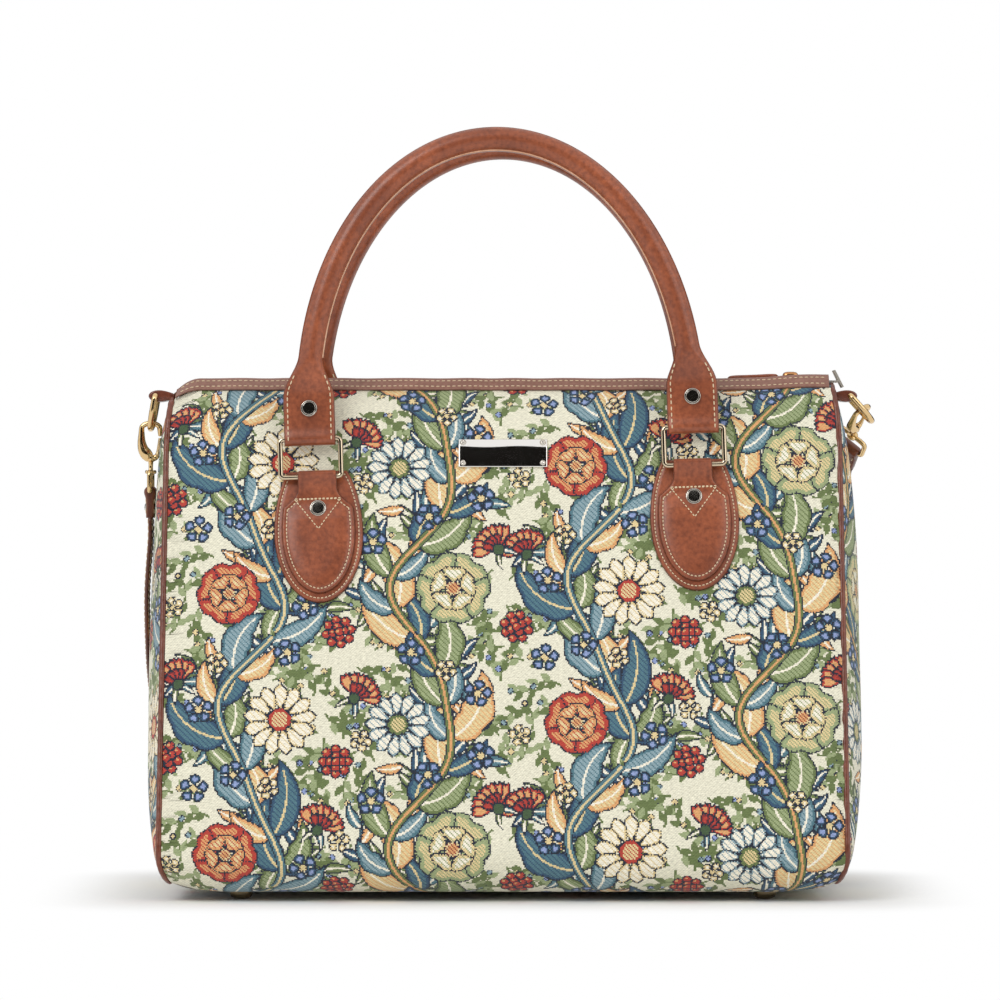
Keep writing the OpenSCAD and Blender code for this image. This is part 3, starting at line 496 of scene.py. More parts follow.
# Section of the body from the trim down the wall to the middle of the base, by its length v: a hem on
# the slope of the trim, the shoulder's arc, the leaning wall, the corner's arc and the flat base.
corner_r, shoulder_r, trim_slope, foot_h, mouth, hem, fine = 24.0, 50.0, np.radians(50), 5.0, 18.0, 14.0, 0.1
slope = np.array([np.cos(trim_slope), np.sin(trim_slope)])
corner_c = np.array([half_d - corner_r, foot_h + corner_r])
shoulder_c = np.array([mouth, rise]) - shoulder_r * slope
foot_of_trim = shoulder_c + shoulder_r * slope
chord = shoulder_c - corner_c
lean = np.arctan2(chord[1], chord[0]) - np.arccos((corner_r - shoulder_r) / np.hypot(*chord))
wall_l = np.sqrt(chord @ chord - (corner_r - shoulder_r) ** 2)
shoulder_l, corner_l = shoulder_r * (trim_slope - lean), corner_r * (lean + np.pi / 2)
turns = np.array([trim_slope, trim_slope, lean, lean, -np.pi / 2, -np.pi / 2])
marks = np.cumsum([-hem, hem, shoulder_l, wall_l, corner_l, corner_c[0]])
fine_v = np.arange(-hem, marks[-1] + fine, fine)
fine_a = np.interp(fine_v, marks, turns)
fine_d = foot_of_trim[0] + np.cumsum(np.sin(fine_a)) * fine - hem * slope[1]
fine_z = foot_of_trim[1] - np.cumsum(np.cos(fine_a)) * fine + hem * slope[0]
x_end, reach, pinch = 191.4, 42.0, 5.0


def section_at(v):
    """Slope, depth and height of the section at a length v."""
    return (np.interp(v, fine_v, f) for f in (fine_a, fine_d, fine_z))


def eased(f):
    """A share of the way, three times its square less twice its cube, so that it starts and stops gently."""
    return f * f * (3 - 2 * f)


def droop(x):
    """How far the top edge falls off: by a parabola at the left end, while it rises gently at the right."""
    return 6.5 * np.clip((-x - 177) / 15, 0, 1) ** 2 - 2.2 * eased(np.clip((x - 130) / 55, 0, 1))


def tucked(p):
    """The end seams turn in: the ends move inward by a power of the depth below 28 mm under the base,
    and by a parabola above 252 mm at the top."""
    x, y, z = np.moveaxis(p, -1, 0)
    inward = 8.5 * np.clip((28 - z) / 23, 0, 1) ** 2.2 + 3.0 * np.clip((z - 252) / 40, 0, 1) ** 2
    return np.stack([x - np.sign(x) * inward * np.clip((np.abs(x) - 130) / 60, 0, 1) ** 2, y, z], -1)


def sunk(p):
    """The upper 26 mm of an end follows the top edge as it falls or rises there."""
    x, y, z = np.moveaxis(p, -1, 0)
    return tucked(np.stack([x, y, z - droop(np.sign(x) * 191) * np.clip((z - 266) / 26, 0, 1)], -1))


def drawn_in(x):
    """How far the end seams draw the cloth in: a quarter ellipse over the last 42 mm."""
    f = np.clip((np.abs(x) - x_end + reach) / reach, 0, 1)
    return pinch * (1 - np.sqrt(1 - f * f))


def body_at(x, v, side):
    """Point of the cloth: the section at length v, drawn in towards the end seams, swelling softly low down
    by squared sines and puckered by a sine that dies away from the seams that gather it."""
    a, d, z = section_at(v)
    low = np.clip((v - 128) / 175, 0, 1)
    swell = 2.4 * np.sin(np.pi * low) ** 2 * np.cos(np.pi * x / 390) ** 0.6 * (v < 303)
    swell = swell + 0.5 * np.sin(x / 31 + v / 47 + side) * np.sin(v / 23 - x / 70) * np.sin(np.pi * low) ** 2
    gathers = np.sin(v / 3.1 + 2 * np.sin(v / 17)) * np.clip(v / 20, 0, 1) * (v < 300)
    pucker = 0.45 * np.exp(-(x_end - np.abs(x)) / 9) * gathers
    out = swell + pucker - drawn_in(x) * np.clip(v / shoulder_l, 0, 1)
    fall = droop(x) * np.clip(1 - v / 24, 0, 1)
    return tucked(np.stack([x, side * (d + out * np.cos(a)), z + out * np.sin(a) - fall], -1))


def woven(name, grid, surface, mirrored, replaces, step, shift=(0, 0)):
    """Cloth in weft floats: each row of the grid is one weft, cut where its colour changes, and each
    float is a quad on the surface, with the surface's own normals and its colour and its lie stored."""
    across, down = grid
    cols = np.arange(len(across) - 1)
    col = np.floor((across[:-1] - across[0]) / cell + 0.5).astype(int) + shift[0]
    row = np.floor(np.abs(down[-1] - down[:-1]) / cell + 0.5).astype(int) + shift[1]
    colours = point_paper[paper_at(col, row)]
    cut = np.ones((len(row), len(cols) + 1), bool)
    cut[:, 1:-1] = (colours[:, 1:] != colours[:, :-1]) | (cols[1:] % step == 0)
    cr, cc = np.nonzero(cut)
    u, v = np.stack([across[cc], across[cc]], 1), np.stack([down[cr], down[cr + 1]], 1)
    points = surface(u, v)
    e = 0.2
    normal = np.cross(surface(u + e, v) - surface(u - e, v), surface(u, v + e) - surface(u, v - e))
    normal = (normal / (np.linalg.norm(normal, axis=-1, keepdims=True) + 1e-9)).reshape(-1, 3)
    b = np.nonzero(cc < len(cols))[0]
    quads = np.stack([2 * b + 1, 2 * b + 3, 2 * b + 2, 2 * b], 1)
    quads = quads[:, ::-1] if mirrored else quads
    p, q, s, t = (points.reshape(-1, 3)[quads[:, k]] for k in range(4))
    patch = np.cross(s - p, t - q)
    real = np.linalg.norm(patch, axis=1) > 1e-3
    b, quads, patch = b[real], quads[real], patch[real]
    normal *= np.sign((patch * normal[quads[:, 0]]).sum())
    mesh = piece(name, points, quads, tapestry, "bag", replaces, closed=False).data
    dyes = np.array([linear(w) for w in wefts], np.float32)[colours[cr[b], cc[b]]]
    dyed_floats = mesh.color_attributes.new("weft", "BYTE_COLOR", "CORNER").data
    dyed_floats.foreach_set("color", np.repeat(dyes, 4, 0).ravel())
    flat = np.stack([u, v], -1).reshape(-1, 2) * 0.001
    mesh.uv_layers.new(name="cloth").data.foreach_set("uv", flat[quads.ravel()].astype(np.float32).ravel())
    mesh.normals_split_custom_set_from_vertices(normal.tolist())


across = np.arange(-192.4, 193, cell)
down = np.arange(-7.0, marks[4] + 1.0, cell)
woven("front_cloth", (across, down), lambda x, v: body_at(x, v, -1), False, ["front_panel"], 18)
woven("rear_cloth", (across, down), lambda x, v: body_at(x, v, 1), True, ["rear_panel"], 18, (137, 61))


def base_at(x, y):
    """Point of the base: the underside, drawn up towards the end seams as the walls are drawn in."""
    return tucked(np.stack([x, y, foot_h + drawn_in(x) + 0 * y], -1))


coarse = 2 * cell
base_grid = np.arange(-192.4, 193, coarse), np.arange(-corner_c[0], corner_c[0] + 1, coarse)
woven("base_cloth", base_grid, base_at, False, ["base_panel"], 12)

# Ends: the outline of the section, drawn in and crowned at the top, swells out round a low middle.
v = np.linspace(0, marks[-1], 900)
a, d, z = section_at(v)
drawn = pinch * np.clip(v / shoulder_l, 0, 1)
crown, bulge, seam_in = 4.0, 11.2, 2.0
crown_r = (mouth**2 + crown**2) / (2 * crown)
crown_y = np.linspace(0, mouth, 60)[:-1]
rim = np.concatenate([np.stack([crown_y, rise + crown - crown_r + np.sqrt(crown_r**2 - crown_y**2)], 1),
    np.stack([d - drawn * np.cos(a), z - drawn * np.sin(a)], 1)])
middle = np.array([0, 0.4 * rise])
rim_way = unit(np.gradient(rim, axis=0))
inset = rim + seam_in * np.stack([rim_way[:, 1], -rim_way[:, 0]], 1)
inset_r = np.hypot(*(inset - middle).T)
inset_a = np.arctan2(np.clip(inset[:, 0], 0, None), inset[:, 1] - middle[1])


def end_at(y, z, side):
    """Point of an end, kept within its rim: out by the bulge times one less a power of its share of the way
    to the rim."""
    wide = np.interp(z, inset[::-1, 1], inset[::-1, 0])
    y = np.clip(y, -wide, wide)
    share = np.hypot(y, z - middle[1]) / np.interp(np.arctan2(np.abs(y), z - middle[1]), inset_a, inset_r)
    soft = 0.5 * np.sin(y / 19 + side) * np.sin(z / 27) * (1 - share**2)
    return sunk(np.stack([side * (half_w + 1.1 + (bulge + 1.2 * side) * (1 - share**2.6) + soft), y, z], -1))


rows_z = np.arange(foot_h + pinch + 2.2, rise + 2.2, cell)
for side, word in ((-1, "left"), (1, "right")):
    woven(f"{word}_end_cloth", (np.arange(-93, 93.1, cell), rows_z[::-1]), lambda y, z: end_at(y, z, side),
        side < 0, [f"{word}_end_panel"], 14, (83 + 40 * side, 37))


# Piping of dark brown hide round a cord closes each end seam. It follows the outline of the section,
# a little fuller and thinner by turns, as hide drawn round a cord is.
# Piping hide: the darkest and glossiest of the hides, drawn tight so that it catches a thin light.
piping_hide = drummed_hide("brown_piping_hide", "#7C3F29", "#5A2918", 0.32)
pipe_rows, pipe_sides, pipe_r = 420, 12, 1.75
whole = np.concatenate([rim, (rim * [-1, 1])[::-1][1:-1], rim[:1]])
run = run_of(whole)
even = np.linspace(0, run[-1], pipe_rows, endpoint=False)
loop = read(whole, run, even)
way = unit(np.roll(loop, -1, 0) - np.roll(loop, 1, 0))
inward = np.stack([way[:, 1], -way[:, 0]], 1)
ring = turn_of(pipe_sides)
fat = (pipe_r + 0.08 * np.sin(even * 0.9 + 2 * np.sin(even / 13)))[:, None]
flat_tube = loop[:, None] + inward[:, None] * (1.0 + fat * np.cos(ring))[..., None]
cells = lattice(pipe_rows, pipe_sides, around=True, along=True)
for side, word in ((-1, "left"), (1, "right")):
    tube = np.concatenate([(side * (half_w + fat * np.sin(ring)))[..., None], flat_tube], -1)
    piece(f"{word}_piping_cord", sunk(tube), cells[:, ::-side], piping_hide, "bag",
        [f"{word}_piping"])


# The board in the base is covered with lining cloth, and four feet of bronze-plated metal are pressed
# through it to keep the cloth off the ground.
def plated(name, colour, rough, mottle=0.05):
    """Plated metal: a mirror dulled by handling, its gloss broken in soft patches 4 mm wide."""
    made, tree, shader = finish_of(name, Metallic=1.0, Roughness=rough)
    shader.inputs["Base Color"].default_value = linear(colour)
    place = add(tree, "TexCoord").outputs["Object"]
    rubbed = add(tree, "TexNoise", {"Vector": place}, Scale=260.0, Detail=4.0)
    level = add(tree, "Math", {0: rubbed.outputs["Fac"], 1: 2 * mottle, 2: rough - mottle},
        operation="MULTIPLY_ADD")
    tree.links.new(level.outputs[0], shader.inputs["Roughness"])
    return made


def dress(finish, *names):
    """Gives CAD nodes whose shape is right their finish."""
    for name in names:
        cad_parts[name].data.materials[0] = finish


# Lining twill: matt brown cotton with slanting ribs, drawn 1.6 mm apart so that they show.
lining, tree, shader = finish_of("brown_lining_twill", Roughness=0.9)
place = add(tree, "TexCoord").outputs["Object"]
twill = add(tree, "TexWave", {"Vector": place}, bands_direction="DIAGONAL", Scale=wave / 0.0016, Distortion=0.5)
brown = add(tree, "ValToRGB", {"Fac": twill.outputs["Fac"]}, stops=[(0, "#5E4030"), (1, "#7B5844")])
tree.links.new(brown.outputs["Color"], shader.inputs["Base Color"])
ribs = add(tree, "Bump", {"Height": twill.outputs["Fac"]}, Strength=0.3, Distance=0.0003)
tree.links.new(ribs.outputs[0], shader.inputs["Normal"])
dress(lining, "base_board")
# Aged bronze: a dim brown metal with blurred lights.
dress(plated("aged_bronze_plate", "#7A6C54", 0.3), "feet")


# A strip of pinkish brown hide is folded over each edge of the opening and sewn with two rows. Between
# the strips runs the zip: brass teeth on a twill tape, a slider and a leather tag on a wire link.
# Trim hide: paler, pinker and duller than the rest, as hide that is skived thin to be folded.
trim_hide = drummed_hide("rose_brown_trim_hide", "#916757", "#794F40", 0.46)
trim_sides, trim_mid, trim_half = 28, [6.9, 0.85], [5.3, 0.95]
lip = turn_of(trim_sides)
strip = np.stack(squared(lip, 0.45, 0.7), 1) * trim_half + trim_mid


def stations(end, bend, count):
    """Places along the opening: even ones in the middle, and closer ones where the ends bend."""
    tail = np.linspace(bend, end, 24)
    return np.concatenate([-tail[::-1], np.linspace(-175, 175, count), tail])[:, None]


def trim_at(x, u, h, side):
    """Point of a trim: u up its slope and h out of it, rippled by its seams and falling off at the ends."""
    h = h + 0.16 * np.sin(x / 5.3 + np.sin(x / 19)) * np.clip(h, 0, 1) + 0.1
    d = foot_of_trim[0] - u * slope[1] + h * slope[0]
    z = foot_of_trim[1] + u * slope[0] + h * slope[1] - droop(x) * (0.65 + 0.03 * u)
    return tucked(np.stack(np.broadcast_arrays(x, side * d, z), -1))


xs = stations(192.2, 176, 201)
fold = np.broadcast_to(np.clip(-np.cos(lip) - 0.8, 0, 1) * 2, (len(xs), trim_sides))
sewn_x = np.linspace(-190, 190, 400)
sewing = []
for side, word in ((-1, "front"), (1, "rear")):
    piece(f"{word}_trim_strip", trim_at(xs, strip[:, 0], strip[:, 1], side),
        capped(len(xs), trim_sides)[:, ::-side], trim_hide, "bag", [f"{word}_zip_trim"], edge=fold)
    up = np.broadcast_to([0, side * slope[0], slope[1]], (len(sewn_x), 3))
    sewing += [(trim_at(sewn_x, u, 1.72, side), up) for u in (4.0, 9.0)]
stitches("trim_stitches", sewing, "bag", pitch=3.1, length=2.0, thick=0.26)

# The tapes lie under the strips, sag a little and leave the teeth bare.
tape_z, tape_t, tape_w = 294.5, 0.8, 11.5
xs = stations(191, 177, 60)
part = np.linspace(0, 1, 6)
part, under = np.concatenate([part, part[::-1]]), np.repeat([0, tape_t], 6)
bare = 1.7 * np.clip((184.5 - np.abs(xs)) / 2, 0, 1)
lie_z = tape_z - 0.4 * np.sin(np.pi * part) - under - np.clip(droop(xs), 0, None)
for side, word in ((-1, "front"), (1, "rear")):
    tape = np.stack(np.broadcast_arrays(xs, side * (bare + (tape_w - bare) * part), lie_z), -1)
    piece(f"{word}_tape_cloth", tape, capped(len(xs), len(part))[:, ::-side], lining, "bag",
        [f"{word}_zip_tape"], smooth=False)
# Antique brass: a warm, uneven shine.
dress(plated("antique_brass", "#C79A5E", 0.3, 0.1), "front_zip_teeth", "rear_zip_teeth", "zip_link")
# The slider is two rounded blocks, a flat shoe and a body, each a ball squared by powers of its sines.
lat, lon = np.meshgrid(np.linspace(-np.pi / 2, np.pi / 2, 15), turn_of(28), indexing="ij")
(round_by, height), (cx, cy) = squared(lat, 0.6, 0.6), squared(lon, 0.6, 0.6)
ball = np.stack([round_by * cx, round_by * cy, height], -1).reshape(-1, 3)
slider = np.concatenate([ball * [5.5, 4.4, 0.8] + [167.5, 0, 296.2], ball * [4.6, 3.5, 3.4] + [167.6, 0, 298.4]])
cells = lattice(15, 28, around=True)
# Red gold: a coppery plate with soft lights.
red_gold = plated("red_gold_plate", "#C08A5A", 0.22)
piece("rounded_slider", slider, np.concatenate([cells, cells + len(ball)]), red_gold, "zip_slider",
    ["zip_slider"])
# Bridle hide: warm tan with darker clouds and a waxed shine.
tan_hide = drummed_hide("tan_bridle_hide", "#A45632", "#74371D", 0.38)
along = np.linspace(0, 1, 26)[:, None]
belly = np.sqrt(np.clip(1 - np.abs(2 * along - 1) ** 6, 0.0004, 1))
wide, thick = squared(turn_of(20), 0.5, 0.6)
tag_x, tag_l, tag_w, tag_z, tag_t = 131.0, 29.5, 4.5, 298.4, 1.35
tag = np.stack([tag_x + tag_l * along + 0 * wide, tag_w * belly * wide,
    tag_z + 1.2 * along**2 + tag_t * belly * thick], -1)
piece("zip_tag_hide", tag, lattice(26, 20, around=True), tan_hide, "zip_pull", ["zip_tag"])
# Satin nickel: a pale, blurred grey.
dress(plated("satin_nickel", "#DAD3C6", 0.4), "zip_end_clip")


# Four oval patches of tan hide are sewn to the cloth, and on each lies a shield-shaped chape, padded
# and sewn round its edge, whose neck is folded over the lower bar of a ring and held by a stud.
def rotation(axis, angle):
    """Turn about one axis as a 4 by 4 matrix."""
    c, s = np.cos(angle), np.sin(angle)
    i, j = [(1, 2), (2, 0), (0, 1)][axis]
    m = np.eye(4)
    m[i, i], m[i, j], m[j, i], m[j, j] = c, -s, s, c
    return m


def shift_by(*v):
    """Shift as a 4 by 4 matrix."""
    m = np.eye(4)
    m[:3, 3] = v
    return m


def put(points, place):
    """Points turned and shifted by a 4 by 4 matrix."""
    return points @ place[:3, :3].T + place[:3, 3]


ring_z, leg_x, bar_y, ring_h = rise - 47.0, 110.0, 6.0, 22.0
wall_d = np.interp(-ring_z, -fine_z, fine_d)
wall_place = shift_by(0, -wall_d, ring_z) @ rotation(0, -lean)
front_wall = wall_place @ rotation(1, np.radians(-1.9))
rear_wall = rotation(2, np.pi) @ wall_place


def rim_depth(x, v, shape):
    """How far each place lies inside a closed line of points."""
    a, b = shape, np.roll(shape, -1, 0)
    d = b - a
    px, py = x[..., None] - a[:, 0], v[..., None] - a[:, 1]
    t = np.clip((px * d[:, 0] + py * d[:, 1]) / ((d * d).sum(1) + 1e-9), 0, 1)
    return np.sqrt(((px - t * d[:, 0]) ** 2 + (py - t * d[:, 1]) ** 2).min(-1))


def cut_hide(name, v, half, profile, thick, puff, place, replaces, sewn=2.5, flat_from=99.0, extra=()):
    """Hide cut to the half-widths at each length v of a profile: a rounded lip rises from the cut edge,
    a groove follows the seam, and the middle swells. Gives the seam and the extra lines, to be sewn."""
    cols = 49
    s = np.sin(np.linspace(-np.pi / 2, np.pi / 2, cols))
    x, vv = half[:, None] * s, np.broadcast_to(v[:, None], (len(v), cols))
    shape = np.concatenate([np.stack([half, v], 1), np.stack([-half, v], 1)[::-1]])

    def laid(x, v, up):
        e = rim_depth(x, v, shape)
        lip = thick * (1 - np.sqrt(1 - (1 - np.clip(e / (0.6 * thick), 0, 1)) ** 2))
        groove = 0.35 * np.exp(-(((e - sewn) / 0.6) ** 2)) * np.clip((flat_from - v) / 3, 0, 1)
        swell = puff * (1 - (1 - np.clip((e - sewn) / 9, 0, 1)) ** 2) * np.clip((flat_from - v) / 12, 0, 1)
        sink = lip + groove - swell - up
        y, z, a = (np.interp(v, profile[0], profile[k]) for k in (1, 2, 3))
        return put(np.stack([x, y + sink * np.cos(a), z + sink * np.sin(a)], -1), place)

    e = rim_depth(x, vv, shape)
    # The cut edge is darker, burnished. The darker line along the seam's groove is painted shade.
    dark = np.clip(1 - e / 0.9, 0, 1) * 0.85 + 0.25 * np.exp(-(((e - sewn) / 0.8) ** 2))
    piece(name, laid(x, vv, 0), lattice(len(v), cols), tan_hide, "bag", replaces, edge=dark)
    loop = read(shape, np.arange(len(shape)), np.linspace(0, len(shape) - 1, 900))
    way = unit(np.gradient(loop, axis=0) + 1e-9)
    seam = loop + sewn * np.stack([-way[:, 1], way[:, 0]], 1)
    inside = rim_depth(seam[:, 0], seam[:, 1], shape) > sewn - 0.25
    seam = seam[(seam[:, 1] < min(flat_from, v[-1] - sewn)) & inside]
    return [(laid(*q.T, 0), laid(*q.T, 1) - laid(*q.T, 0)) for q in (seam, *extra)]


def lathe(line, sides):
    """A line of radii and heights turned about the axis Z, as rings of points."""
    g = turn_of(sides)
    return np.stack([line[:, :1] * np.cos(g), line[:, :1] * np.sin(g), line[:, 1:] + 0 * g], -1)


# Bright nickel: a clear, cool mirror with few scratches.
nickel = plated("bright_nickel_plate", "#CFC9BF", 0.14)
# Domed studs: a low cap that mirrors the dark before the lens, in a rounded rim.
stud_r, stud_z, stud_sides, cap = 4.8, -18.25, 36, 0.72
half_turn = np.linspace(0, np.pi, 13)
cap_r = cap * np.sin(np.linspace(0.004, np.pi / 2, 10))
stud_line = stud_r * np.concatenate([np.stack([cap_r, 0.44 - 0.02 * (cap_r / cap) ** 2], 1),
    np.stack([cap + 0.06 * np.sin(half_turn[1:7]), 0.36 + 0.06 * np.cos(half_turn[1:7])], 1),
    np.stack([0.885 - 0.095 * np.cos(half_turn), 0.2 + 0.095 * np.sin(half_turn)], 1),
    [[1.0, 0.16], [0.98, 0], [0.003, 0]]])
stud = lathe(stud_line * [1, -1], stud_sides)[..., [0, 2, 1]].reshape(-1, 3)


def studs(kind, place, ats, body):
    """A pair of studs, each turned from the same line and standing out along -Y at its place on the hide."""
    cells = lattice(len(stud_line), stud_sides, around=True)[:, ::-1]
    piece(f"{kind}_domes", np.concatenate([put(stud + at, place) for at in ats]),
        np.concatenate([cells, cells + len(stud)]), nickel, body, [f"{kind}_studs"])


mid_z, low_b, up_b, margin, hair = -32.12, 40.88, 50.0, 5.0, 0.02


def oval(z, w, b):
    """Half-width at a height of an oval of half-width w that reaches b below its middle and up_b above it."""
    return np.maximum(w * np.sqrt(np.clip(1 - ((z - mid_z) / np.where(z < mid_z, b, up_b)) ** 2, 0, 1)), hair)


def down_to(low, count, top, rows):
    """Lengths of a profile, closer together towards the tip at the bottom of the oval."""
    tip = mid_z - low * np.cos(np.linspace(0, np.pi / 2, count))
    return np.concatenate([tip, np.linspace(mid_z + 0.8, top, rows)])


patch_v = down_to(low_b, 50, 5, 40)
patch_half = oval(patch_v, 25.5, low_b)
upright = np.array([-80.0, 20.0])
patch_line = (upright, np.full(2, -2.1), upright, np.zeros(2))
# The chape lies flat up to its flare, eases off the patch by a parabola and is folded round the bar.
chape_y, flare_z, neck_z, neck, chape_w, fold_r, tip_z = -4.3, -17.0, -6.5, 11.25, 21.0, 3.8, -68.0
fold_a = np.linspace(np.pi - 0.35, -0.5, 48)
arc = np.stack([-bar_y + fold_r * np.cos(fold_a), fold_r * np.sin(fold_a)], 1)
t = np.linspace(0, 1, 14)[1:-1, None]
ease = (1 - t) ** 2 * [chape_y, flare_z] + 2 * t * (1 - t) * [chape_y, -10.0] + t**2 * arc[0]
line = np.concatenate([np.stack([np.full(60, chape_y), np.linspace(tip_z, flare_z, 60)], 1), ease, arc])
run = run_of(line) + tip_z
tangent = unit(np.gradient(line, axis=0))
chape_line = (run, line[:, 0], line[:, 1], np.unwrap(np.arctan2(-tangent[:, 0], tangent[:, 1])))
chape_v = down_to(low_b - margin, 46, run[-1], 96)
flare_x = chape_w * np.sqrt(1 - ((flare_z - mid_z) / up_b) ** 2)
f = np.clip((chape_v - flare_z) / (neck_z - flare_z), 0, 1)
chape_half = np.where(chape_v < flare_z, oval(chape_v, chape_w, low_b - margin),
    neck + (flare_x - neck) * (1 - np.sin(np.pi / 2 * f)))
corners = np.array([[-13.4, -12.4], [13.4, -12.4], [0, -30.5], [-13.4, -12.4]])
triangle = read(corners, range(4), np.linspace(0, 3, 200))
sewing = []
for wall, word, sides in ((front_wall, "front", (("left", -leg_x + 3.5), ("right", leg_x - 1.2))),
        (rear_wall, "rear", (("left", leg_x), ("right", -leg_x)))):
    for hand, x in sides:
        place = wall @ shift_by(x, 0, 0)
        sewing += cut_hide(f"{word}_{hand}_patch_hide", patch_v, patch_half, patch_line, 2.0, 0.25, place,
            [f"{word}_{hand}_patch"])
        sewing += cut_hide(f"{word}_{hand}_chape_hide", chape_v, chape_half, chape_line, 2.1, 1.1, place,
            [f"{word}_{hand}_chape"], sewn=2.7, flat_from=-12.6, extra=[triangle])
    studs(f"{word}_chape", wall, [(x, -4.4, stud_z) for _, x in sides], "bag")
stitches("patch_stitches", sewing, "bag", pitch=2.2, length=1.5, thick=0.3)
# Warm nickel: a mirror with a faint yellow cast.
warm_nickel = plated("warm_nickel_plate", "#CDBBA0", 0.12)
dress(warm_nickel, "front_left_ring", "front_right_ring", "rear_left_ring", "rear_right_ring")


# A small plate of polished steel with bevelled edges lies on the front between the handles. Four domed
# screws with slots hold it.
# Polished steel: the clearest mirror on the bag, white where the room shines in it.
mirror_steel = plated("polished_steel", "#EDEAE6", 0.09, 0.03)
plate_x, plate_z, plate_t, bevel, plate_rows = 25.5, 8.5, 1.8, 0.5, 41
quarter = np.sin(np.pi / 2 * np.linspace(-1, 1, plate_rows))
px, pz = np.meshgrid(plate_x * quarter, plate_z * quarter)
rim_of = 1 - np.clip(np.minimum(plate_x - np.abs(px), plate_z - np.abs(pz)) / bevel, 0, 1)
roll_off = 0.14 * np.log1p(np.exp((pz - 4.3 - 0.35 * np.sin(px / 6)) / 0.5))
px, pz = np.pad(px, 1, mode="edge"), np.pad(pz, 1, mode="edge")
slab = np.stack([px, -np.pad(plate_t - 0.4 * rim_of**2 - roll_off, 1), pz], -1)
on_plate = wall_place @ shift_by(0, -0.1, 12.2)
piece("bevelled_plate", put(slab, on_plate), lattice(plate_rows + 2, plate_rows + 2), mirror_steel, "bag",
    ["name_plate"])
head_r, head_h, head_rows, head_sides = 1.9, 1.7, 9, 22
r, g = np.meshgrid(head_r * np.sin(np.linspace(0.01, np.pi / 2, head_rows)), turn_of(head_sides), indexing="ij")
dome = -1.0 - head_h * np.sqrt(1.001 - (r / head_r) ** 2)
heads = []
for cx, cz, turn in ((-22.9, -6.1, 0.5), (22.9, -6.1, 1.2), (-22.9, 6.1, 2.2), (22.9, 6.1, 0.1)):
    slot = 0.45 * np.exp(-((r * np.sin(g - turn) / 0.3) ** 2)) * (r < 1.6)
    heads.append(np.stack([cx + r * np.cos(g), dome + slot, cz + r * np.sin(g)], -1))
cells = np.arange(4)[:, None, None] * r.size + lattice(head_rows, head_sides, around=True)[:, ::-1]
piece("domed_screws", put(np.array(heads).reshape(-1, 3), on_plate), cells.reshape(-1, 4), nickel, "bag",
    ["plate_screws"])


# Each handle is a cord core rolled in tan hide. At the legs the hide opens flat into a doubled tab that
# is folded over the upper bar of its ring, sewn along its edges and riveted with a stud.
roll_d, tab_w, tab_t, leg_h, arch_rise, barrel = 14.4, 29.4, 4.2, 18.0, 152.0, 3.8
roll_sides, welt_sides, welt_r = 40, 6, 0.5
up_leg = np.concatenate([-barrel * np.cos(np.linspace(0, np.pi / 2, 9)), np.linspace(0.8, 17, 16)])
arch = np.linspace(0, np.pi, 241)
fine_line = np.stack([leg_x * np.cos(arch), leg_h + arch_rise * np.sin(arch)], 1)
run = run_of(fine_line)
over = read(fine_line, run, np.linspace(0, run[-1], 170))
right_leg = np.stack([np.full(25, leg_x), up_leg], 1)
spine = np.concatenate([right_leg, over, (right_leg * [-1, 1])[::-1]])
upward = np.tile([[0.0, 1.0]], (25, 1))
way = unit(np.concatenate([upward, np.gradient(over, axis=0), -upward]))


def roll_size(z):
    """Half-width, half-thickness and roundness at a height: the tab's from the bar up, folded round the
    bar below, and eased into the roll's between 24 and 47 mm."""
    f = eased(np.clip((z - 24) / 23, 0, 1))
    fold = np.sqrt(np.clip(barrel**2 - z**2, 0.0004, None))
    flat = tab_t / 2 + (barrel - tab_t / 2) * np.exp(-((np.clip(z, 0, None) / 4.2) ** 2))
    thick = np.where(z < 0, fold, flat + (roll_d / 2 - flat) * f)
    return tab_w / 2 + (roll_d - tab_w) / 2 * f, thick, 0.3 + 0.7 * f, f


def along_spine(line, way, u, w):
    """Points u to the side of a line in the plane y = 0 and w out of that plane."""
    return np.stack(np.broadcast_arrays(line[:, :1] + u * way[:, 1:], w, line[:, 1:] - u * way[:, :1]), -1)


# Pale welt hide: pale and dull. Its pale colour is a painted highlight for the thin light line along the inner
# side of the roll.
welt_painted_highlight_hide = drummed_hide("pale_welt_painted_highlight", "#DDB294", "#C08A68", 0.5)
wide, thick, power, rolled = (size[:, None] for size in roll_size(spine[:, 1]))
u, w = squared(turn_of(roll_sides) + np.pi / roll_sides, power, np.clip(power, 0.45, 1))
u = wide * u
roll = along_spine(spine, way, u, thick * w)
rubbed = (1 - rolled) * np.clip((np.abs(u) - wide + 0.9) / 0.9, 0, 1) * 0.8
# A thin welt runs along the inner side of the roll above 46 mm. It is a real seam ridge, and its pale colour is
# a painted highlight.
bare = spine[:, 1] > 46
g = turn_of(welt_sides)
welt = along_spine(spine[bare], way[bare], -0.93 * roll_d / 2 + welt_r * np.cos(g),
    -0.4 * roll_d / 2 + welt_r * np.sin(g))
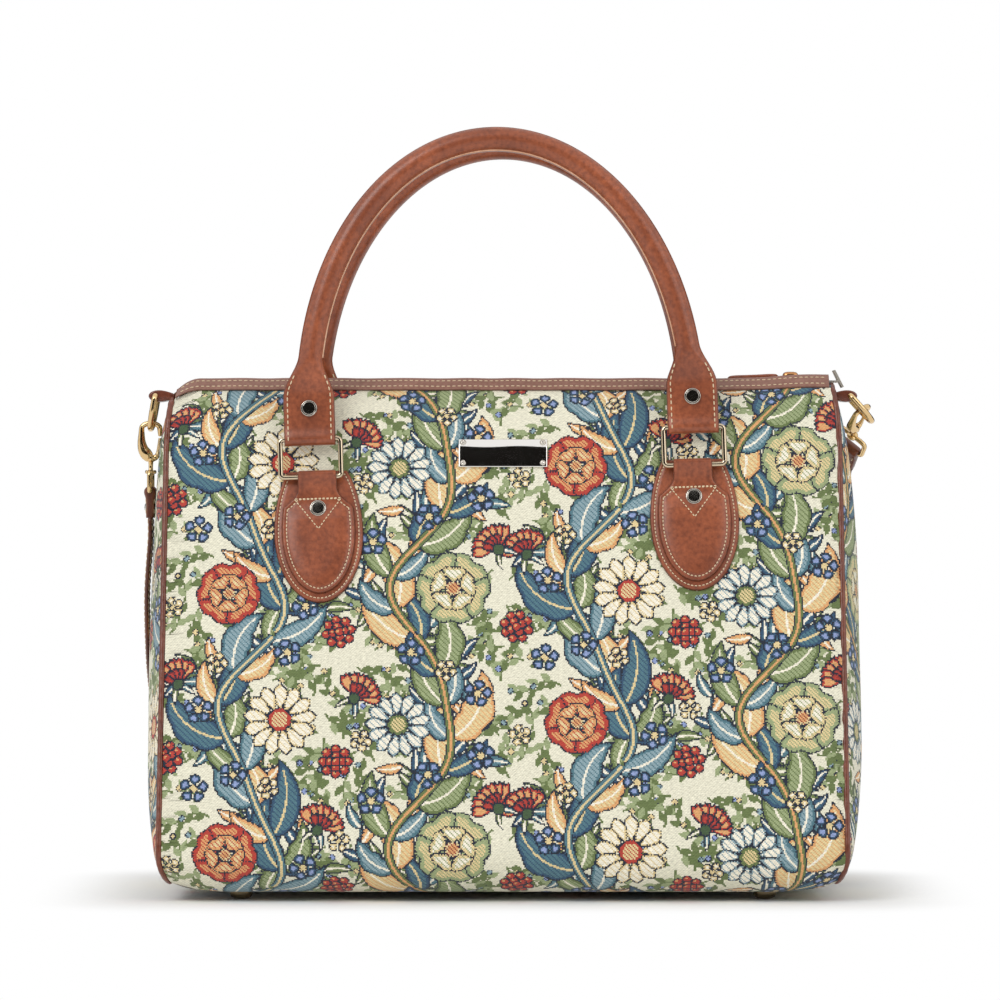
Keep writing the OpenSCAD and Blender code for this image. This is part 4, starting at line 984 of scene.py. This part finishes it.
# The seam keeps 2.4 mm from the edge of the tab, and follows the roll for a little way.
seam_z = np.linspace(-1.5, 37, 90)
wide, thick, power, rolled = roll_size(seam_z)
off = (tab_w / 2 - 2.4) * (1 - rolled) + 5.8 * rolled
seam_y = thick * np.sqrt(1 - (off / wide) ** (2 / power)) ** np.clip(power, 0.45, 1)
bend_in = leg_x * (1 - np.sqrt(1 - (np.clip(seam_z - leg_h, 0, None) / arch_rise) ** 2))
for wall, word in ((front_wall, "front"), (rear_wall, "rear")):
    ring_top = wall @ shift_by(0, -bar_y, 0) @ rotation(0, lean - np.radians(6)) @ shift_by(0, 0, ring_h)
    hang = ring_top @ rotation(0, np.radians(1.7))
    piece(f"{word}_handle_hide", put(roll, hang), lattice(len(spine), roll_sides, around=True), tan_hide,
        f"{word}_handle", [f"{word}_handle"], edge=rubbed)
    # The welt's pale colour is a painted highlight.
    piece(f"{word}_handle_welt_painted_highlight", put(welt, hang), lattice(len(welt), welt_sides, around=True), welt_painted_highlight_hide,
        f"{word}_handle")
    sewing = []
    for leg, hand, face in [(x, h, f) for x in (-1, 1) for h in (-1, 1) for f in (-1, 1)]:
        path = np.stack([leg * leg_x + hand * off - leg * bend_in, face * seam_y, seam_z], 1)
        sewing.append((put(path, hang), np.broadcast_to(face * hang[:3, 1], path.shape)))
    stud_at = [(x, -tab_t / 2 - 0.1, 0.97 * leg_h) for x in (-leg_x, leg_x)]
    studs(f"{word}_handle", hang, stud_at, f"{word}_handle")
    stitches(f"{word}_handle_stitches", sewing, f"{word}_handle", pitch=3.3, length=2.3, thick=0.32)


# At each end a folded tab of hide holds a D-ring of pale gold plate. The snap hooks of the strap clip
# into it, with a sprung gate, and a swivel eye carries the riveted end of the strap.
tab_x, tab_z, tab_sides = 197.7, 287.5, 40
fold = turn_of(tab_sides) + np.pi / tab_sides
drop_x, drop_z = 8.4 * np.cos(fold), 4.2 * np.sin(fold) * ((1 + np.cos(fold)) / 2) ** 0.4
lie_y = np.array([-8.6, -8.5, -8.1, -7, 0, 7, 8.1, 8.5, 8.6])[:, None]
lean_in = np.array([0.8, 0.9, 0.97, 1, 1, 1, 0.97, 0.9, 0.8])[:, None]
for side, word in ((-1, "left"), (1, "right")):
    tab = np.stack([side * (tab_x + drop_x * lean_in), lie_y + 0 * fold, tab_z + drop_z * lean_in], -1)
    piece(f"{word}_tab_hide", tab, capped(len(lie_y), tab_sides)[:, ::-side], piping_hide, "bag",
        [f"{word}_tab"])


def along_tube(line, sides, closed=False):
    """A round bar along a line of x, z and radius in the plane y = 0, a loop or closed by its narrow ends."""
    path, radius, g = line[:, :2], line[:, 2:], turn_of(sides)
    way = unit(np.roll(path, -1, 0) - np.roll(path, 1, 0) if closed else np.gradient(path, axis=0))
    return along_spine(path, way, radius * np.cos(g), radius * np.sin(g)).reshape(-1, 3)


def bar_of(knots, count):
    """A smooth line through knots of x, z and radius that narrows to nothing at its ends."""
    line = bow(np.array(knots), count)
    line[[0, -1], 2] = hair
    return line


# Pale gold: a warm mirror with the dark of the room drawn along it.
pale_gold = plated("pale_gold_plate", "#DDBE8C", 0.16)
# Satin gold: the same colour, blurred.
satin_gold = plated("satin_gold_plate", "#E0C79C", 0.42)
bar_sides, eye_sides, bar_rows, lug_rows, gate_rows, eye_rows = 18, 12, 110, 16, 40, 72
top = np.linspace(0, np.pi, 9)
crook = np.stack([5.3 * np.cos(top), 3.1 * np.sin(top), 0 * top + 1.55], 1).tolist()
bent_bar = bar_of([[5.3, -4.6, 0.9], [5.3, -2.2, 1.3]] + crook + [[-5.4, -4, 1.9], [-5.3, -8, 2.4],
    [-4.4, -12, 3.1], [-2.8, -14.6, 3.5], [-1.3, -16.4, 3.2], [0, -17.6, 2.4]], bar_rows)
lug = bar_of([[0.4, -17.8, 1.5], [2.2, -17.1, 1.75], [3.4, -16.1, 1.6], [3.9, -15.3, 1.1]], lug_rows)
gate_bar = bar_of([[3.75, -16.2, 0.6], [3.8, -15.8, 1.1], [4, -14.8, 1.35], [4.3, -13.2, 1.05], [4.9, -9, 0.95],
    [5.3, -5.9, 0.9], [5.35, -5.4, 0.5]], gate_rows)
post_line = np.array([[hair, -15.2], [2.2, -15.4], [2.8, -16], [2.8, -18.4], [2.3, -19], [1.5, -19.3],
    [1.3, -21.6], [1.3, -21.9], [1.3, -26.4], [2.1, -26.6], [2.1, -27.4], [hair, -27.6]])
post = lathe(post_line, bar_sides).reshape(-1, 3)
hook_form = np.concatenate([along_tube(bent_bar, bar_sides), post, along_tube(lug, bar_sides)])
hook_cells = np.concatenate([lattice(bar_rows, bar_sides, around=True),
    lattice(len(post_line), bar_sides, around=True)[:, ::-1] + bar_rows * bar_sides,
    lattice(lug_rows, bar_sides, around=True) + bar_rows * bar_sides + len(post)])
gate_form, gate_cells = along_tube(gate_bar, eye_sides), lattice(gate_rows, eye_sides, around=True)
left_hook = shift_by(-205.334, 0, 268.592)
right_q = np.cross([0.628777, -0.34202, -0.698328], right_way)
right_hook = shift_by(209.916, 10.525, 278.708)
right_hook[:3, :3] = np.stack([right_q, np.cross(-right_way, right_q), -right_way], 1)
for word, place in (("left", left_hook), ("right", right_hook)):
    piece(f"{word}_snap_hook", put(hook_form, place), hook_cells, pale_gold, f"{word}_hook",
        [f"{word}_hook"])
    piece(f"{word}_spring_gate", put(gate_form, place), gate_cells, satin_gold, f"{word}_gate",
        [f"{word}_gate"])
eye_x, eye_z = squared(turn_of(eye_rows), 0.35, 0.3)
eye_line = np.stack([9.8 * eye_x, -31.1 + 5.9 * eye_z, np.full(eye_rows, 1.45)], 1)
eye_loop = along_tube(eye_line, eye_sides, closed=True)
boss_line = np.array([[hair, -24.2], [2.9, -24.2], [3.3, -24.6], [3.3, -25.9], [2.9, -26.3], [hair, -26.3]])
boss = lathe(boss_line, bar_sides)
eye_form = np.concatenate([eye_loop, boss.reshape(-1, 3)])
eye_cells = np.concatenate([lattice(eye_rows, eye_sides, around=True, along=True),
    lattice(len(boss), bar_sides, around=True)[:, ::-1] + len(eye_loop)])
eyes = {"left": left_hook @ rotation(2, np.radians(90)), "right": right_hook @ rotation(2, np.radians(100))}
for word, at_eye in eyes.items():
    piece(f"{word}_swivel_eye", put(eye_form, at_eye), eye_cells, pale_gold, f"{word}_swing",
        [f"{word}_eye"])


# The end of the strap is folded over the bar of the eye, sewn along its edges and held by a rivet with a
# domed head on either side.
bar_z, fold_r, layers, fold_rows = -37.0, 3.6, 2.4, 38


def fold_half(z):
    """Half the thickness at a height: the fold round the bar, then two layers of hide."""
    below = layers + (fold_r - layers) * np.exp(-(((z - bar_z) / 3.2) ** 2))
    return np.where(z > bar_z, np.sqrt(np.clip(fold_r**2 - (z - bar_z) ** 2, 0.0004, None)), below)


round_bar = bar_z + fold_r * np.cos(np.linspace(0, np.pi / 2, 12))
fold_z = np.concatenate([round_bar, np.linspace(-37.6, -52, 26)])[:, None]
fold = np.stack(np.broadcast_arrays(band[:, 0], fold_half(fold_z) * band[:, 1] / (strap_t / 2), fold_z), -1)
fold_cells = np.concatenate([lattice(fold_rows, strap_sides, around=True),
    flat_caps(strap_sides) + (fold_rows - 1) * strap_sides])[:, ::-1]
rivet_z, rivet_sides = -46.0, 16
rivet_line = np.array([[hair, 1.25], [1.2, 1.15], [2.1, 0.85], [2.7, 0.45], [3.0, 0.2], [3.0, -0.4]])
rivet = lathe(rivet_line + [0, layers], rivet_sides)[..., [0, 2, 1]].reshape(-1, 3) + [0, 0, rivet_z]
rivet_cells = lattice(len(rivet_line), rivet_sides, around=True)
seam_z = np.linspace(-39.5, -51, 40)
for word, at_eye in eyes.items():
    # The strap end's darker brown is partly painted shade.
    piece(f"{word}_strap_end_hide", put(fold, at_eye), fold_cells, strap_hide_with_painted_shade, f"{word}_swing",
        [f"{word}_strap_end"], edge=np.broadcast_to(burnish, (fold_rows, strap_sides)))
    sewing = []
    for s, f in [(s, f) for s in (-1, 1) for f in (-1, 1)]:
        path = np.stack([0 * seam_z + s * seam_x, f * 0.93 * fold_half(seam_z), seam_z], 1)
        sewing.append((put(path, at_eye), np.broadcast_to(at_eye[:3, 1] * f, path.shape)))
    stitches(f"{word}_fold_stitches", sewing, f"{word}_swing", thick=0.3)
    piece(f"{word}_strap_rivets", put(np.concatenate([rivet, rivet * [-1, -1, 1]]), at_eye),
        np.concatenate([rivet_cells, rivet_cells + len(rivet)]), nickel, f"{word}_swing")
dress(pale_gold, "left_dee", "right_dee", "strap_buckle")


# Studio: a white sweep of floor under a pale room, one broad lamp high on the left, a weaker one on the
# right, and two dark cards, before and behind the bag, that give metal and hide their dark streaks.
def seen_rays(tree):
    """One for rays from the lens, straight or by way of a mirror or a clear piece, and nought for others."""
    ray = add(tree, "LightPath").outputs
    seen = add(tree, "Math", {0: ray["Is Camera Ray"], 1: ray["Is Glossy Ray"]}, operation="MAXIMUM")
    return add(tree, "Math", {0: seen.outputs[0], 1: ray["Is Transmission Ray"]}, operation="MAXIMUM").outputs[0]


# White paper floor: it takes the soft shadow near the bag, and is pure white from 90 mm beyond it.
floor_finish, tree, shader = finish_of("white_floor", Roughness=0.9, Specular_IOR_Level=0.1)
shader.inputs["Base Color"].default_value = linear("#FBFBFA")
beyond = add(tree, "VectorMath", {0: add(tree, "TexCoord").outputs["Object"]}, operation="ABSOLUTE")
beyond = add(tree, "VectorMath", {0: beyond.outputs[0], 1: (0.19, 0.08, 0)}, operation="SUBTRACT")
beyond = add(tree, "VectorMath", {0: beyond.outputs[0]}, operation="MAXIMUM")
far = add(tree, "VectorMath", {0: beyond.outputs[0]}, operation="LENGTH")
far = add(tree, "MapRange", {"Value": far.outputs["Value"]}, From_Min=0.0, From_Max=0.09,
    interpolation_type="SMOOTHERSTEP")
share = add(tree, "Math", {0: seen_rays(tree), 1: far.outputs[0]}, operation="MULTIPLY")
white = add(tree, "Emission", Color=(1, 1, 1, 1), Strength=1.0)
both = add(tree, "MixShader", {0: share.outputs[0], 1: shader.outputs[0], 2: white.outputs[0]})
tree.links.new(both.outputs[0], tree.nodes["Material Output"].inputs["Surface"])
corners = np.array([[-6000, -6000, -0.05], [6000, -6000, -0.05], [6000, 9000, -0.05], [-6000, 9000, -0.05]])
piece("floor", corners, [[0, 1, 2, 3]], floor_finish, None)
# Black card: it takes light and gives none back.
card_finish, tree, shader = finish_of("black_card", Roughness=1.0, Specular_IOR_Level=0.0)
shader.inputs["Base Color"].default_value = linear("#1A1816")
for name, y, top in (("dark_card", -3300, 2900), ("rear_card", 2600, 2200)):
    corners = np.array([[-4200, y, -300], [4200, y, -300], [4200, y, top], [-4200, y, top]])
    card = piece(name, corners, [[0, 3, 2, 1]], card_finish, None)
    card.visible_camera = card.visible_diffuse = card.visible_shadow = card.visible_transmission = False
aim = np.array([0, 0, 0.2])
for name, at, size, power in (("key", (-1.6, -2.2, 2.1), 1.6, 38), ("fill", (2.0, -2.0, 1.4), 1.8, 16)):
    lamp = bpy.data.objects.new(name, bpy.data.lights.new(name, "AREA"))
    lamp.data.energy, lamp.data.size = power, size
    lamp.location = at
    x, y, z = aim - at
    lamp.rotation_euler = (np.arctan2(np.hypot(x, y), -z), 0, np.arctan2(-x, y))
    bpy.context.scene.collection.objects.link(lamp)
world = bpy.data.worlds.new("pale_room")
world.use_nodes = True
bpy.context.scene.world = world
tree = world.node_tree
level = add(tree, "Math", {0: seen_rays(tree), 1: 0.35, 2: 0.65}, operation="MULTIPLY_ADD")
tree.nodes["Background"].inputs["Color"].default_value = (1, 1, 1, 1)
tree.links.new(level.outputs[0], tree.nodes["Background"].inputs["Strength"])
bpy.context.scene.view_settings.view_transform = "Standard"
